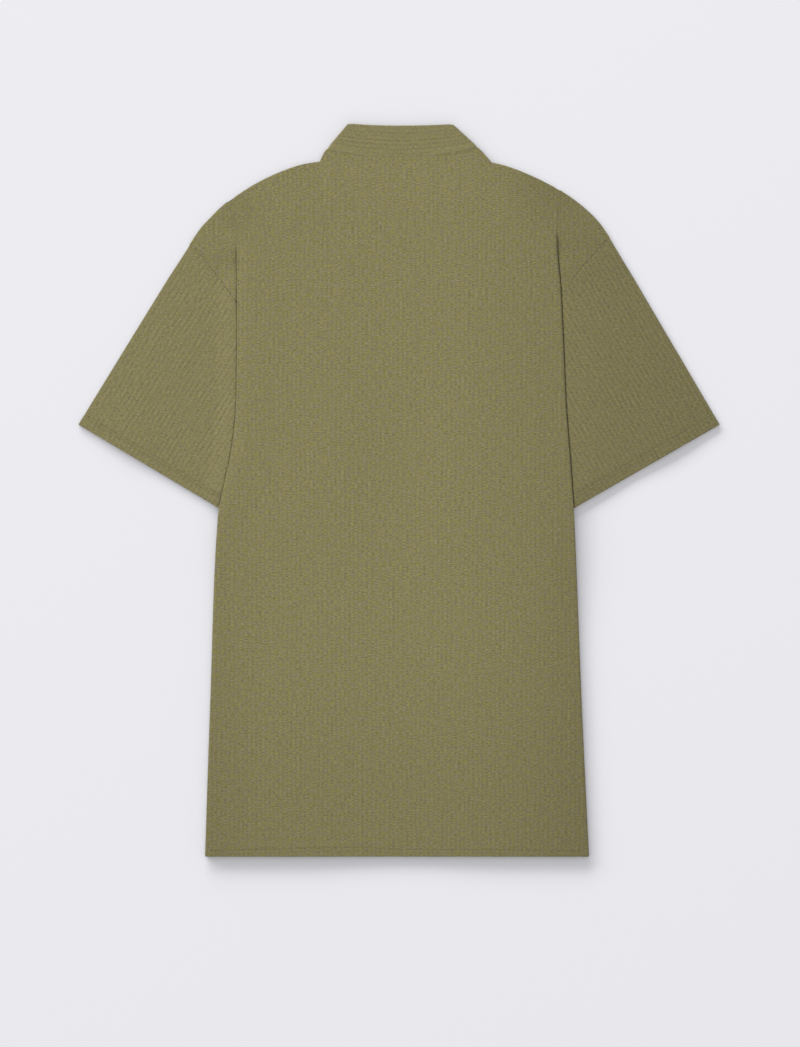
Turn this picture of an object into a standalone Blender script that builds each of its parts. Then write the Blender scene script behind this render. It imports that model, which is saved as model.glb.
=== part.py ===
"""Short-sleeved polo shirt, laid flat on its front with both sides of the body tucked under.

Metres, +Z up. The shirt rests on z = 0, its collar towards +Y and its left sleeve towards -X.
The tables and sizes below are in millimetres, and mesh_object turns them into metres.

The back and the front are two walls of cloth, one on the other. At each side the pair turns
under along the side line, runs back towards the middle, and above the underarm turns again,
so that the sleeve comes out from beneath the body. Every section of the body is that one
path: body, side turn, tuck, inner turn and the strip that carries the sleeve.
"""

import math
from collections import namedtuple

import bmesh
import bpy

# Driving dimensions
MM = 0.001
CLOTH = 1.0  # thickness of the knitted cloth
SEAM_GAP = 0.3  # clearance between two pieces
SHIRT_HALF_LENGTH = 380.6  # collar roll or hem to the middle of the laid shirt
UNDERARM_Y = 61.4
PLACKET_WIDTH = 32.0
BUTTON_DIAMETER = 11.4
BUTTON_THICKNESS = 2.5
BUTTON_SPACING = 50.0

# Layers. Heights are those of the middle of the cloth.
LAYER_GAP = 0.4  # clearance between two layers that are pressed together
LAYER = CLOTH + LAYER_GAP  # from one layer to the next where they are pressed together
FLOOR_LAYER = CLOTH / 2
PAIR = LAYER / 2  # from the middle of a pair of layers to either one
LOW_PAIR = FLOOR_LAYER + PAIR  # a pair that lies on the floor
TURN = LAYER  # radius of a turned pair
TURN_REACH = TURN + PAIR + CLOTH / 2  # from the centre of the turn to its outer skin

# Heights of the body between the tucks
CHEST_BACK_Z = 6.3
SKIRT_BACK_Z = 3.6
PLACKET_Z = FLOOR_LAYER + BUTTON_THICKNESS + SEAM_GAP
NECK_BACK_Z = 4.0
NECK_FRONT_Z = 2.6
SHOULDER_EDGE = 42.0  # the body rises over this distance from its shoulder line
NECK_EDGE = 60.0
UNDERARM_RAMP_START = 12.0  # the tuck comes down to the floor beyond the sleeve
UNDERARM_RAMP = 45.0
RAMP_SPREAD = 14.0
INNER_FOLD_PAST = 4.0  # the inner turn points this far past the shoulder's fold
TUCK_MARGIN = 14.0  # the body stays up this far past the inner edge of the tuck

# Resolution
FLAT_STEPS = 12  # from the middle of the body to the start of the side turn
FLAT_STEP = 0.45  # the turns open out flat at the shoulder, in steps of this length
SHORT_TUCK = 0.3
SIDE_TURN_STEPS = 4
INNER_TURN_STEPS = 3
TUCK_STEPS = 2
STRIP_STEPS = 3
SLEEVE_RINGS = (0.0, 0.12, 0.3, 0.5, 0.7, 0.87, 1.0)
SLEEVE_TURN_STEPS = 3
COLLAR_TURN_STEPS = 4

Place = namedtuple("Place", "x y")
Side = namedtuple(
    "Side",
    "sign side_line shoulder armhole sleeve_edge cuff_inner neck roll_corner fall_end hem_seam_x",
)

# side_line: visible side of the body, hem to shoulder. shoulder: collar to armhole seam; its
# place numbered SHOULDER_FOLD ends the side line. armhole: underarm to shoulder.
# sleeve_edge: shoulder to cuff. neck: where the neck seam meets the shoulder.
SHOULDER_FOLD = 6
LEFT = Side(
    sign=-1,
    side_line=[
        Place(-201.8, -380.6),
        Place(-196.6, -226.7),
        Place(-188.2, -27.0),
        Place(-181.0, 10.4),
        Place(-175.8, 34.3),
        Place(-171.8, 61.4),
        Place(-169.2, 95.0),
        Place(-168.5, 197.6),
        Place(-168.5, 260.0),
        Place(-172.6, 280.8),
        Place(-181.0, 297.4),
    ],
    shoulder=[
        Place(-77.2, 351.3),
        Place(-82.2, 341.1),
        Place(-98.8, 338.5),
        Place(-123.8, 330.2),
        Place(-149.8, 317.7),
        Place(-169.5, 305.2),
        Place(-181.0, 297.4),
        Place(-194.5, 284.4),
        Place(-206.0, 272.0),
        Place(-217.4, 255.3),
    ],
    armhole=[
        Place(-84.2, UNDERARM_Y),
        Place(-110.0, 86.0),
        Place(-133.0, 124.0),
        Place(-152.0, 163.0),
        Place(-169.8, 196.6),
        Place(-193.4, 229.4),
        Place(-205.4, 244.4),
        Place(-217.4, 255.3),
    ],
    sleeve_edge=[Place(-217.4, 255.3), Place(-239.2, 222.0), Place(-333.3, 68.6)],
    cuff_inner=Place(-169.9, -28.5),
    neck=Place(-66.9, 354.4),
    roll_corner=Place(-53.9, 381.0),
    fall_end=Place(-74.3, 354.6),
    hem_seam_x=-131.8,
)
RIGHT = Side(
    sign=1,
    side_line=[
        Place(197.6, -380.6),
        Place(190.3, -226.7),
        Place(182.0, -27.0),
        Place(178.9, 21.8),
        Place(175.7, 61.4),
        Place(173.3, 95.7),
        Place(171.1, 148.7),
        Place(168.2, 208.0),
        Place(164.1, 262.1),
        Place(165.7, 276.6),
        Place(170.6, 309.4),
    ],
    shoulder=[
        Place(86.4, 351.4),
        Place(96.2, 340.1),
        Place(108.0, 337.5),
        Place(125.0, 331.7),
        Place(145.0, 323.1),
        Place(161.0, 314.9),
        Place(170.6, 309.4),
        Place(188.2, 296.9),
        Place(205.9, 280.3),
        Place(218.4, 263.2),
    ],
    armhole=[
        Place(86.3, UNDERARM_Y),
        Place(112.0, 89.0),
        Place(134.0, 127.0),
        Place(152.0, 165.0),
        Place(168.5, 200.7),
        Place(189.5, 231.4),
        Place(200.5, 243.4),
        Place(218.4, 263.2),
    ],
    sleeve_edge=[Place(218.4, 263.2), Place(243.4, 222.0), Place(333.3, 68.6)],
    cuff_inner=Place(168.5, -26.0),
    neck=Place(73.5, 356.2),
    roll_corner=Place(57.2, 380.4),
    fall_end=Place(81.5, 356.2),
    hem_seam_x=127.6,
)

# Sections of the body, by the height at which each crosses the left side line
SECTION_LEVELS = (
    -380.6, -250.0, -120.0, -60.0, -25.0, 5.0, 33.0, UNDERARM_Y,
    83.0, 110.0, 140.0, 170.0, 200.0, 228.0, 252.0, 265.0, 276.0, 286.0, 292.0, 297.4,
)  # fmt: skip
TOP_LEVEL = SECTION_LEVELS[-1]
BEND_START = 30.0  # sections above this level bend towards the shoulder line
PLACKET_SECTION = 10

# Neck
NECK_FRACTIONS = (0.45, 0.68, 0.86, 1.0)  # stations from the middle to the neck point
BACK_NECK_Y = 351.0
FRONT_NECK_Y = 284.4
FRONT_GAP = 3.0  # half of the gap between the two ends of the collar
ROLL_DIP = 2.0  # the roll line is lower in the middle of the back
FALL_EDGE_Y = 347.4
FRONT_ROLL_Y = 306.0
COLLAR_POINT = Place(62.0, 268.0)

# Sleeves
SLEEVE_FULLNESS = 1.0
SLEEVE_FULL_TO = 0.6  # the fullness ends before the body covers the sleeve

OLIVE = (0.235, 0.207, 0.098, 1.0)
OLIVE_DARK = (0.215, 0.188, 0.087, 1.0)
BUTTON_COLOUR = (0.17, 0.15, 0.08, 1.0)


def clamp(value):
    return min(1.0, max(0.0, value))


def smooth(value):
    value = clamp(value)
    return value * value * (3 - 2 * value)


def mix(first, last, part):
    return first + (last - first) * part


def between(first, last, part):
    return Place(mix(first.x, last.x, part), mix(first.y, last.y, part))


def x_at(line, y):
    """x of a line that runs up the shirt."""
    for low, high in zip(line, line[1:]):
        if y <= high.y:
            return mix(low.x, high.x, max(0.0, (y - low.y) / (high.y - low.y)))
    return line[-1].x


def along(line, part):
    """The place at this part of a line's length."""
    lengths = [math.dist(a, b) for a, b in zip(line, line[1:])]
    left = part * sum(lengths)
    for (first, last), length in zip(zip(line, line[1:]), lengths):
        if left <= length:
            return between(first, last, left / length)
        left -= length
    return line[-1]


def unit(x, y):
    length = math.hypot(x, y)
    return Place(x / length, y / length)


def bend(level):
    """How far a section follows the shoulder line: 0 is straight across, 1 is the shoulder."""
    return smooth((level - BEND_START) / (TOP_LEVEL - BEND_START))


def fold_y(side, level):
    top = side.shoulder[SHOULDER_FOLD].y
    return level + bend(level) * (top - TOP_LEVEL)


def inner_fold_x(side, y):
    """The inner turn runs straight from the underarm to a place just past the shoulder."""
    top = side.shoulder[SHOULDER_FOLD]
    underarm = side.armhole[0]
    part = (y - underarm.y) / (top.y - underarm.y)
    return mix(underarm.x, top.x + side.sign * INNER_FOLD_PAST, part)


def side_seam_x(side, y):
    """The hidden side seam runs straight from the underarm to the hem."""
    underarm = side.armhole[0]
    part = (y + SHIRT_HALF_LENGTH) / (underarm.y + SHIRT_HALF_LENGTH)
    return mix(side.hem_seam_x, underarm.x, part)


def tuck_inner_x(side, y):
    return inner_fold_x(side, y) if y > side.armhole[0].y else side_seam_x(side, y)


def armhole_place(side, y):
    """Where the section that crosses the side line at y ends, on the armhole seam."""
    underarm, head = side.armhole[0], side.armhole[-1]
    part = (y - underarm.y) / (side.shoulder[SHOULDER_FOLD].y - underarm.y)
    end_y = mix(underarm.y, head.y, part)
    return Place(x_at(side.armhole, end_y), end_y)


def sleeve_lift(side, x, y, spread=0.0):
    """Height of the pair of sleeve layers under the tuck, which comes down beyond them."""
    corner, underarm, cuff = side.cuff_inner, side.armhole[0], side.sleeve_edge[-1]
    outside = -1e9
    for end, turn in ((underarm, side.sign), (cuff, -side.sign)):
        run = unit(end.x - corner.x, end.y - corner.y)
        distance = turn * ((x - corner.x) * -run.y + (y - corner.y) * run.x)
        outside = max(outside, distance)
    start = UNDERARM_RAMP_START + spread
    return 2 * LAYER * (1 - smooth((outside - start) / UNDERARM_RAMP))


def body_pair_z(side, x, y):
    """Middle of the pair of body layers where they lie on the tuck. Away from the side line
    the pair comes down from the sleeve a little further out than the tuck does."""
    inside = smooth((abs(x_at(side.side_line, y)) - abs(x)) / 25)
    return LOW_PAIR + sleeve_lift(side, x, y, inside * RAMP_SPREAD) + 2 * TURN


def body_z(side, panel, x, y):
    """Height of the body between the side lines, away from its top edge."""
    inner_x = side.sign * (abs(tuck_inner_x(side, y)) - TUCK_MARGIN)
    if abs(x) >= abs(inner_x):
        return body_pair_z(side, x, y) + panel * PAIR
    edge_z = body_pair_z(side, inner_x, y) + panel * PAIR
    part = abs(x / inner_x)
    if panel > 0:
        middle_z = mix(SKIRT_BACK_Z, CHEST_BACK_Z, smooth((y - 20) / 130))
        return mix(middle_z, edge_z, smooth(part))
    middle_z = mix(FLOOR_LAYER, PLACKET_Z, smooth((y - 45) / 80))
    return mix(middle_z, edge_z, smooth((part - 0.35) / 0.65))


def neck_y(side, panel, x):
    """The neck seam of the back, or of the front."""
    part = abs(x / side.neck.x)
    if panel > 0:
        return mix(BACK_NECK_Y, side.neck.y, part**2)
    part = max(0.0, (abs(x) - FRONT_GAP) / (abs(side.neck.x) - FRONT_GAP))
    return mix(FRONT_NECK_Y, side.neck.y, part**2)


def neck_z(side, panel, x):
    if panel > 0:
        return NECK_BACK_Z
    return mix(PLACKET_Z, NECK_FRONT_Z, smooth(abs(x / side.neck.x)))


Station = namedtuple("Station", "x y z reach even")


def top_stations(side, panel):
    """The top edge from beside the placket to the side line: its places and heights.

    reach is how far below the edge its height still counts, and even the station's place
    across the straight sections lower down.
    """
    places = [PLACKET_WIDTH / 2 + SEAM_GAP]
    places += [abs(side.neck.x) * part for part in NECK_FRACTIONS]
    stations = []
    for x in places:
        x *= side.sign
        stations.append((x, neck_y(side, panel, x), neck_z(side, panel, x), NECK_EDGE))
    low = LOW_PAIR + panel * PAIR
    heights = (mix(stations[-1][2], low, 0.4), mix(stations[-1][2], low, 0.8))
    for number, place in enumerate(side.shoulder[:SHOULDER_FOLD]):
        z = heights[number] if number < len(heights) else low
        stations.append((place.x, place.y, z, SHOULDER_EDGE))
    fold = side.shoulder[SHOULDER_FOLD]
    inset = Place(fold.x - side.sign * TURN_REACH, fold.y + TURN_REACH * 0.7)
    stations.append((inset.x, inset.y, low, SHOULDER_EDGE))
    first = places[0] / abs(fold.x)
    count = len(stations) - 1
    return [
        Station(*station, even=mix(first, 1, number / count))
        for number, station in enumerate(stations)
    ]


def flat_part(side, panel, level, fold_x):
    """Points of one section from beside the placket to the start of the side turn."""
    points = []
    weight = bend(level)
    stations = top_stations(side, panel)
    end_x = abs(fold_x) - TURN_REACH
    top_x = abs(stations[-1].x)
    for number, station in enumerate(stations):
        part = mix(station.even, abs(station.x) / top_x, weight)
        x = station.x if number == 0 else side.sign * part * end_x
        y = level + weight * (station.y - TOP_LEVEL)
        if number == len(stations) - 1:
            y = fold_y(side, level) + weight * TURN_REACH * 0.7
        z = body_z(side, panel, x, y)
        below = station.y - y
        if number == len(stations) - 1:
            below = side.shoulder[SHOULDER_FOLD].y - fold_y(side, level)
        points.append((x, y, mix(station.z, z, smooth(below / station.reach))))
    return points


def folded_part(side, panel, level, fold_x):
    """Points of one section from the side turn to the seam, as the pair's path moved to
    one side by half a layer: outwards for the back, inwards for the front."""
    y = fold_y(side, level)
    start = abs(fold_x) - TURN_REACH
    if level == TOP_LEVEL:
        steps = SIDE_TURN_STEPS + TUCK_STEPS + INNER_TURN_STEPS
        path = [(start + FLAT_STEP * (step + 1), LOW_PAIR, 0.0, 1.0) for step in range(steps)]
    elif level > UNDERARM_Y:
        rise = smooth((side.shoulder[SHOULDER_FOLD].y - y) / SHOULDER_EDGE)
        angle = math.acos(1 - 2 * rise)
        tuck = max(SHORT_TUCK, start - TURN_REACH - abs(inner_fold_x(side, y)))
        drop = 4 * TURN * rise + tuck * math.sin(angle)
        path = turn_path(start, LOW_PAIR + drop, 0.0, angle, SIDE_TURN_STEPS)
        across, z, nx, nz = path[-1]
        for step in range(1, TUCK_STEPS + 1):
            run = tuck * step / TUCK_STEPS
            path.append((across + nz * run, z - nx * run, nx, nz))
        across, z = path[-1][:2]
        path += turn_path(across, z, angle, 0.0, INNER_TURN_STEPS)
    else:
        pair_z = body_pair_z(side, fold_x, y)
        path = turn_path(start, pair_z, 0.0, math.pi, SIDE_TURN_STEPS)
        tuck = start - abs(side_seam_x(side, y))
        for step in range(1, TUCK_STEPS + 1):
            across = start - tuck * step / TUCK_STEPS
            z = LOW_PAIR + sleeve_lift(side, side.sign * across, y)
            path.append((across, z, 0.0, -1.0))
    points = [
        (side.sign * (across + panel * PAIR * nx), y, z + panel * PAIR * nz)
        for across, z, nx, nz in path
    ]
    if level == TOP_LEVEL:
        points = [(x, shoulder_y(side, x), z) for x, _, z in points]
    if level > UNDERARM_Y:
        return points + strip_part(side, level, points[-1])
    unused = INNER_TURN_STEPS + STRIP_STEPS
    return points + [points[-1]] * unused


def turn_path(across, z, first, last, steps):
    """Middle of the pair along an arc, with its normal. Angles are its slope down."""
    path = []
    way = 1 if last > first else -1
    for step in range(1, steps + 1):
        slope = mix(first, last, step / steps)
        path.append(
            (
                across + way * TURN * (math.sin(slope) - math.sin(first)),
                z - way * TURN * (math.cos(first) - math.cos(slope)),
                math.sin(slope),
                math.cos(slope),
            )
        )
    return path


def shoulder_y(side, x):
    line = [Place(abs(place.x), place.y) for place in side.shoulder]
    for near, far in zip(line, line[1:]):
        if abs(x) <= far.x:
            return mix(near.y, far.y, (abs(x) - near.x) / (far.x - near.x))
    return line[-1].y


def strip_part(side, level, start):
    """The strip between the inner turn and the armhole seam."""
    points = []
    end = armhole_place(side, fold_y(side, level))
    for step in range(1, STRIP_STEPS + 1):
        part = step / STRIP_STEPS
        place = between(Place(start[0], start[1]), end, part)
        chord = between(side.shoulder[SHOULDER_FOLD], side.shoulder[-1], part)
        y = place.y + bend(level) ** 4 * (shoulder_y(side, chord.x) - chord.y)
        if level == TOP_LEVEL:
            y = shoulder_y(side, place.x)
        points.append((place.x, y, start[2]))
    return points


def section(panel, level):
    """All points of one section of the back (panel 1) or the front (panel -1), left to right."""
    halves = []
    for side in (LEFT, RIGHT):
        fold_x = x_at(side.side_line, fold_y(side, level))
        half = flat_part(side, panel, level, fold_x)
        halves.append(half + folded_part(side, panel, level, fold_x))
    left, right = halves
    middle_y = mix(left[0][1], right[0][1], 0.5)
    if panel > 0:
        middle_y = level + bend(level) * (BACK_NECK_Y - TOP_LEVEL)
    middle = (0.0, middle_y, mix(left[0][2], right[0][2], 0.5))
    return left[::-1] + [middle] + right


def mesh_object(name, points, faces, colour):
    """A mesh from points in millimetres."""
    mesh = bpy.data.meshes.new(name)
    mesh.from_pydata([tuple(MM * value for value in point) for point in points], [], faces)
    obj = bpy.data.objects.new(name, mesh)
    obj.data.materials.append(material(name, colour))
    SHIRT.objects.link(obj)
    return obj


def material(name, colour, roughness=0.85):
    made = bpy.data.materials.new(name)
    made.use_nodes = True
    shader = made.node_tree.nodes["Principled BSDF"]
    shader.inputs["Base Color"].default_value = colour
    shader.inputs["Roughness"].default_value = roughness
    shader.inputs["Metallic"].default_value = 0.0
    return made


def grid_faces(rows, columns, closed=False, left_out=()):
    """Triangles between the rows of a grid, the same way round in every layer of cloth. A
    closed grid joins its last column to its first."""
    faces = []
    for row in range(rows - 1):
        for column in range(columns if closed else columns - 1):
            if (row, column) in left_out:
                continue
            after = (column + 1) % columns
            low = row * columns
            high = low + columns
            corners = (low + column, low + after, high + after, high + column)
            first = 0 if column < columns // 2 else 1
            corners = corners[first:] + corners[:first]
            faces += [corners[:3], (corners[2], corners[3], corners[0])]
    return faces


def cloth(name, rows, colour, closed=False, left_out=()):
    """A wall of cloth through the points of these rows."""
    points = [point for row in rows for point in row]
    faces = grid_faces(len(rows), len(rows[0]), closed, left_out)
    used = sorted({point for face in faces for point in face})
    place = {point: number for number, point in enumerate(used)}
    faces = [tuple(place[point] for point in face) for face in faces]
    obj = mesh_object(name, [points[point] for point in used], faces, colour)
    wall = obj.modifiers.new("wall", "SOLIDIFY")
    wall.thickness = CLOTH * MM
    wall.offset = 0.0
    wall.use_quality_normals = True
    return obj


def below_strip(columns):
    """Faces of the inner turn and the strip, left out up to the first section over the
    underarm, where both are cut off."""
    middle = columns // 2
    last = FLAT_STEPS + SIDE_TURN_STEPS + TUCK_STEPS
    return {
        (row, column)
        for row in range(SECTION_LEVELS.index(UNDERARM_Y) + 1)
        for column in range(columns - 1)
        if column >= middle + last or column < middle - last
    }


def make_back():
    rows = [section(1, level) for level in SECTION_LEVELS]
    cloth("back", rows, OLIVE, left_out=below_strip(len(rows[0])))


def make_front():
    """The front has a slot for the placket, which ends at one of its sections."""
    rows = [section(-1, level) for level in SECTION_LEVELS]
    middle = len(rows[0]) // 2
    slot = {
        (row, column)
        for row in range(PLACKET_SECTION, len(rows) - 1)
        for column in (middle - 1, middle)
    }
    cloth("front", rows, OLIVE, left_out=slot | below_strip(len(rows[0])))
    return rows[PLACKET_SECTION][middle][1]


def armhole_parts(side):
    """Parts of the armhole from shoulder to underarm that the body's sections end on."""
    levels = [level for level in SECTION_LEVELS if level >= UNDERARM_Y]
    head, underarm = side.armhole[-1], side.armhole[0]
    places = [armhole_place(side, fold_y(side, level)) for level in reversed(levels)]
    return [(head.y - place.y) / (head.y - underarm.y) for place in places]


def sleeve_place(side, across, up):
    """across runs from the outer edge to the underarm edge, up from the cuff to the armhole."""
    head, underarm = side.armhole[-1], side.armhole[0]
    outer = along(side.sleeve_edge[::-1], up)
    inner = between(side.cuff_inner, underarm, up)
    place = between(outer, inner, across)
    chord = between(head, underarm, across)
    seam_y = chord.y
    seam = Place(x_at(side.armhole, seam_y), seam_y)
    weight = up**3
    away = unit(side.sign * 0.83, -0.56)
    return Place(
        place.x + weight * (seam.x - chord.x) + up**8 * away.x * SEAM_GAP * 1.3,
        place.y + weight * (seam.y - chord.y) + up**8 * away.y * SEAM_GAP * 1.3,
    )


def sleeve_ring(side, up):
    """One flattened ring of the sleeve: over the top, round the underarm and back beneath."""
    parts = armhole_parts(side)
    reach = PAIR + CLOTH / 2
    first, last = sleeve_place(side, 0, up), sleeve_place(side, 1, up)
    inset_first = reach / math.dist(first, last)
    inset_last = 2.5 * reach / math.dist(first, last)
    parts = [mix(inset_first, 1 - inset_last, part) if 0 < part < 1 else part for part in parts]
    parts = [inset_first] + parts[1:-1] + [1 - inset_last]
    top, under = [], []
    for part in parts:
        place = sleeve_place(side, part, up)
        full = SLEEVE_FULLNESS * math.sin(math.pi * clamp(part / SLEEVE_FULL_TO)) ** 2
        top.append((place.x, place.y, LOW_PAIR + PAIR + full * (1 - up) ** 1.5))
        under.append((place.x, place.y, FLOOR_LAYER))
    run = unit(last.x - first.x, last.y - first.y)
    return (
        top
        + turned_edge(top[-1], run)
        + under[::-1]
        + turned_edge(top[0], Place(-run.x, -run.y))[::-1]
    )


def turned_edge(start, run):
    """Points of a half turn between the two layers of a sleeve, without its ends."""
    points = []
    for step in range(1, SLEEVE_TURN_STEPS):
        turned = math.pi * step / SLEEVE_TURN_STEPS
        out = PAIR * math.sin(turned)
        z = LOW_PAIR + PAIR * math.cos(turned)
        points.append((start[0] + out * run.x, start[1] + out * run.y, z))
    return points


def make_sleeve(name, side):
    rings = [sleeve_ring(side, up) for up in SLEEVE_RINGS]
    if side.sign < 0:
        rings.reverse()
    cloth(name, rings, OLIVE, closed=True)


CollarStation = namedtuple("CollarStation", "base roll edge stand_z fall_z out turned")


def collar_stations(side):
    """Stations from the middle of the back, round the side of the neck, to the front end.

    base, roll and edge are the places of the neck seam, the roll line and the free edge.
    out points away from the neck at the side, where turned goes from 0 to half a turn.
    """
    run = unit(side.fall_end.x - side.roll_corner.x, side.fall_end.y - side.roll_corner.y)
    out = Place(-side.sign * run.y, side.sign * run.x)
    back_fall_z = NECK_BACK_Z + LAYER
    inset = (back_fall_z - FLOOR_LAYER) / 2 + CLOTH / 2
    reach = (LAYER + CLOTH) / 2
    corner = Place(
        side.roll_corner.x - inset * out.x + reach * run.x,
        side.roll_corner.y - inset * out.y + reach * run.y,
    )
    end = Place(side.fall_end.x - inset * out.x, side.fall_end.y - inset * out.y)
    base_x = [PLACKET_WIDTH / 2 + SEAM_GAP]
    base_x += [abs(side.neck.x) * part for part in NECK_FRACTIONS]
    stations = []
    for x in [0.0] + base_x:
        part = x / abs(side.neck.x)
        inset_x = SEAM_GAP if part == 1 else 0.0
        base = Place(side.sign * (x - inset_x), neck_y(side, 1, x) + SEAM_GAP)
        roll = Place(part * corner.x, corner.y - ROLL_DIP * (1 - part**2))
        edge = Place(part * end.x, mix(FALL_EDGE_Y, end.y, part**4))
        stations.append(CollarStation(base, roll, edge, NECK_BACK_Z, back_fall_z, out, 0.0))
    last = stations[-1]
    for step in range(1, COLLAR_TURN_STEPS):
        stations.append(last._replace(turned=math.pi * step / COLLAR_TURN_STEPS))
    for x in base_x[::-1] + [FRONT_GAP]:
        part = (x - FRONT_GAP) / (abs(side.neck.x) - FRONT_GAP)
        fall = 1 - part**2
        swing = math.acos(part) / (math.pi / 2)
        inset_x = SEAM_GAP * smooth(2 * part)
        base = Place(side.sign * (x - inset_x), neck_y(side, -1, x) + SEAM_GAP)
        roll = Place(
            side.sign * FRONT_GAP + part * (corner.x - side.sign * FRONT_GAP),
            mix(corner.y, FRONT_ROLL_Y, fall),
        )
        point = Place(side.sign * COLLAR_POINT.x, COLLAR_POINT.y)
        edge = between(end, point, swing)
        stand_z = neck_z(side, -1, x)
        stations.append(CollarStation(base, roll, edge, stand_z, FLOOR_LAYER, out, math.pi))
    return stations


def collar_section(station, side_z):
    """Points from the neck seam up the stand, over the roll and down the fall."""

    def placed(place, low, high):
        """A point of a layer that turns round the side of the neck from high to low."""
        if station.turned in (0.0, math.pi):
            return (place.x, place.y, high if station.turned == 0 else low)
        radius = (high - low) / 2
        out = radius * math.sin(station.turned)
        z = (high + low) / 2 + radius * math.cos(station.turned)
        return (place.x + out * station.out.x, place.y + out * station.out.y, z)

    stand = (station.stand_z if station.turned == math.pi else side_z, NECK_BACK_Z)
    fall = (FLOOR_LAYER, NECK_BACK_Z + LAYER)
    points = [placed(between(station.base, station.roll, part), *stand) for part in (0, 0.5, 1)]
    run = unit(station.roll.x - station.edge.x, station.roll.y - station.edge.y)
    first, last = points[-1], placed(station.roll, *fall)
    half = [(b - a) / 2 for a, b in zip(first, last)]
    size = math.hypot(*half)
    for turned in (math.pi / 3, 2 * math.pi / 3):
        lift = size * math.sin(turned)
        middle = [a + h - h * math.cos(turned) for a, h in zip(first, half)]
        points.append((middle[0] + lift * run.x, middle[1] + lift * run.y, middle[2]))
    points += [placed(between(station.roll, station.edge, part), *fall) for part in (0, 0.35, 0.7, 1)]
    return points


def make_collar():
    left = [collar_section(station, NECK_FRONT_Z) for station in collar_stations(LEFT)]
    right = [collar_section(station, NECK_FRONT_Z) for station in collar_stations(RIGHT)]
    cloth("collar", left[:0:-1] + right, OLIVE_DARK)


def make_placket(bottom_y):
    """Two strips, one on the other. The outer one is in the slot of the front."""
    half = PLACKET_WIDTH / 2
    for name, z, narrower in (
        ("placket_over", PLACKET_Z, 0.0),
        ("placket_under", PLACKET_Z + LAYER, 1.5),
    ):
        low, high = bottom_y + SEAM_GAP + narrower, FRONT_NECK_Y - SEAM_GAP
        rows = []
        for step in range(5):
            y = mix(low, high, step / 4)
            rows.append([(x * (half - narrower), y, z) for x in (-1, 0, 1)])
        cloth(name, rows, OLIVE_DARK)


def make_button(number, y):
    """A turned button with a rim, its face down, and four holes."""
    radius = BUTTON_DIAMETER / 2
    dish = 0.7
    profile = [
        (0.0, BUTTON_THICKNESS),
        (radius - 0.9, BUTTON_THICKNESS),
        (radius, BUTTON_THICKNESS - 0.8),
        (radius, 0.6),
        (radius - 0.6, 0.0),
        (radius - 1.4, 0.0),
        (radius - 2.1, dish),
        (0.0, dish),
    ]
    name = f"button_{number}"
    edges = [(index, index + 1) for index in range(len(profile) - 1)]
    mesh = bpy.data.meshes.new(name)
    mesh.from_pydata([(x * MM, 0.0, z * MM) for x, z in profile], edges, [])
    obj = bpy.data.objects.new(name, mesh)
    obj.data.materials.append(material(name, BUTTON_COLOUR, 0.35))
    obj.location = (0.0, y * MM, 0.0)
    SHIRT.objects.link(obj)
    turned = obj.modifiers.new("turned", "SCREW")
    turned.steps = turned.render_steps = 20
    turned.use_merge_vertices = True
    turned.merge_threshold = 0.00001
    holes = obj.modifiers.new("holes", "BOOLEAN")
    holes.object = hole_cutter(y)


def hole_cutter(y):
    edit = bmesh.new()
    for turn in range(4):
        angle = math.pi / 4 + turn * math.pi / 2
        made = bmesh.ops.create_cone(
            edit,
            cap_ends=True,
            segments=8,
            radius1=0.9 * MM,
            radius2=0.9 * MM,
            depth=4 * BUTTON_THICKNESS * MM,
        )
        away = (1.5 * MM * math.cos(angle), 1.5 * MM * math.sin(angle), 0.0)
        bmesh.ops.translate(edit, verts=made["verts"], vec=away)
    mesh = bpy.data.meshes.new("holes")
    edit.to_mesh(mesh)
    edit.free()
    cutter = bpy.data.objects.new("holes", mesh)
    cutter.location = (0.0, y * MM, 0.0)
    cutter.hide_render = True
    cutter.display_type = "WIRE"
    CUTTERS.objects.link(cutter)
    return cutter


for old in list(bpy.data.objects):
    bpy.data.objects.remove(old)
SHIRT = bpy.data.collections.new("polo_shirt")
CUTTERS = bpy.data.collections.new("cutters")
bpy.context.scene.collection.children.link(SHIRT)
bpy.context.scene.collection.children.link(CUTTERS)

make_back()
placket_bottom = make_front()
make_sleeve("sleeve_left", LEFT)
make_sleeve("sleeve_right", RIGHT)
make_collar()
make_placket(placket_bottom)
for button in range(3):
    make_button(button + 1, FRONT_NECK_Y - 14 - button * BUTTON_SPACING)
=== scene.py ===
"""Short-sleeved polo shirt in olive textured knit, laid flat on its front and seen from above.

Sizes are in millimetres until a mesh is made. The forms follow the shirt's sections: each wall
of cloth is a grid of points in the middle of the cloth, which is then given its thickness.
"""

import math
from collections import namedtuple

import bpy
import numpy as np
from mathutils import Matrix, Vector
from mathutils.bvhtree import BVHTree


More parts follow.
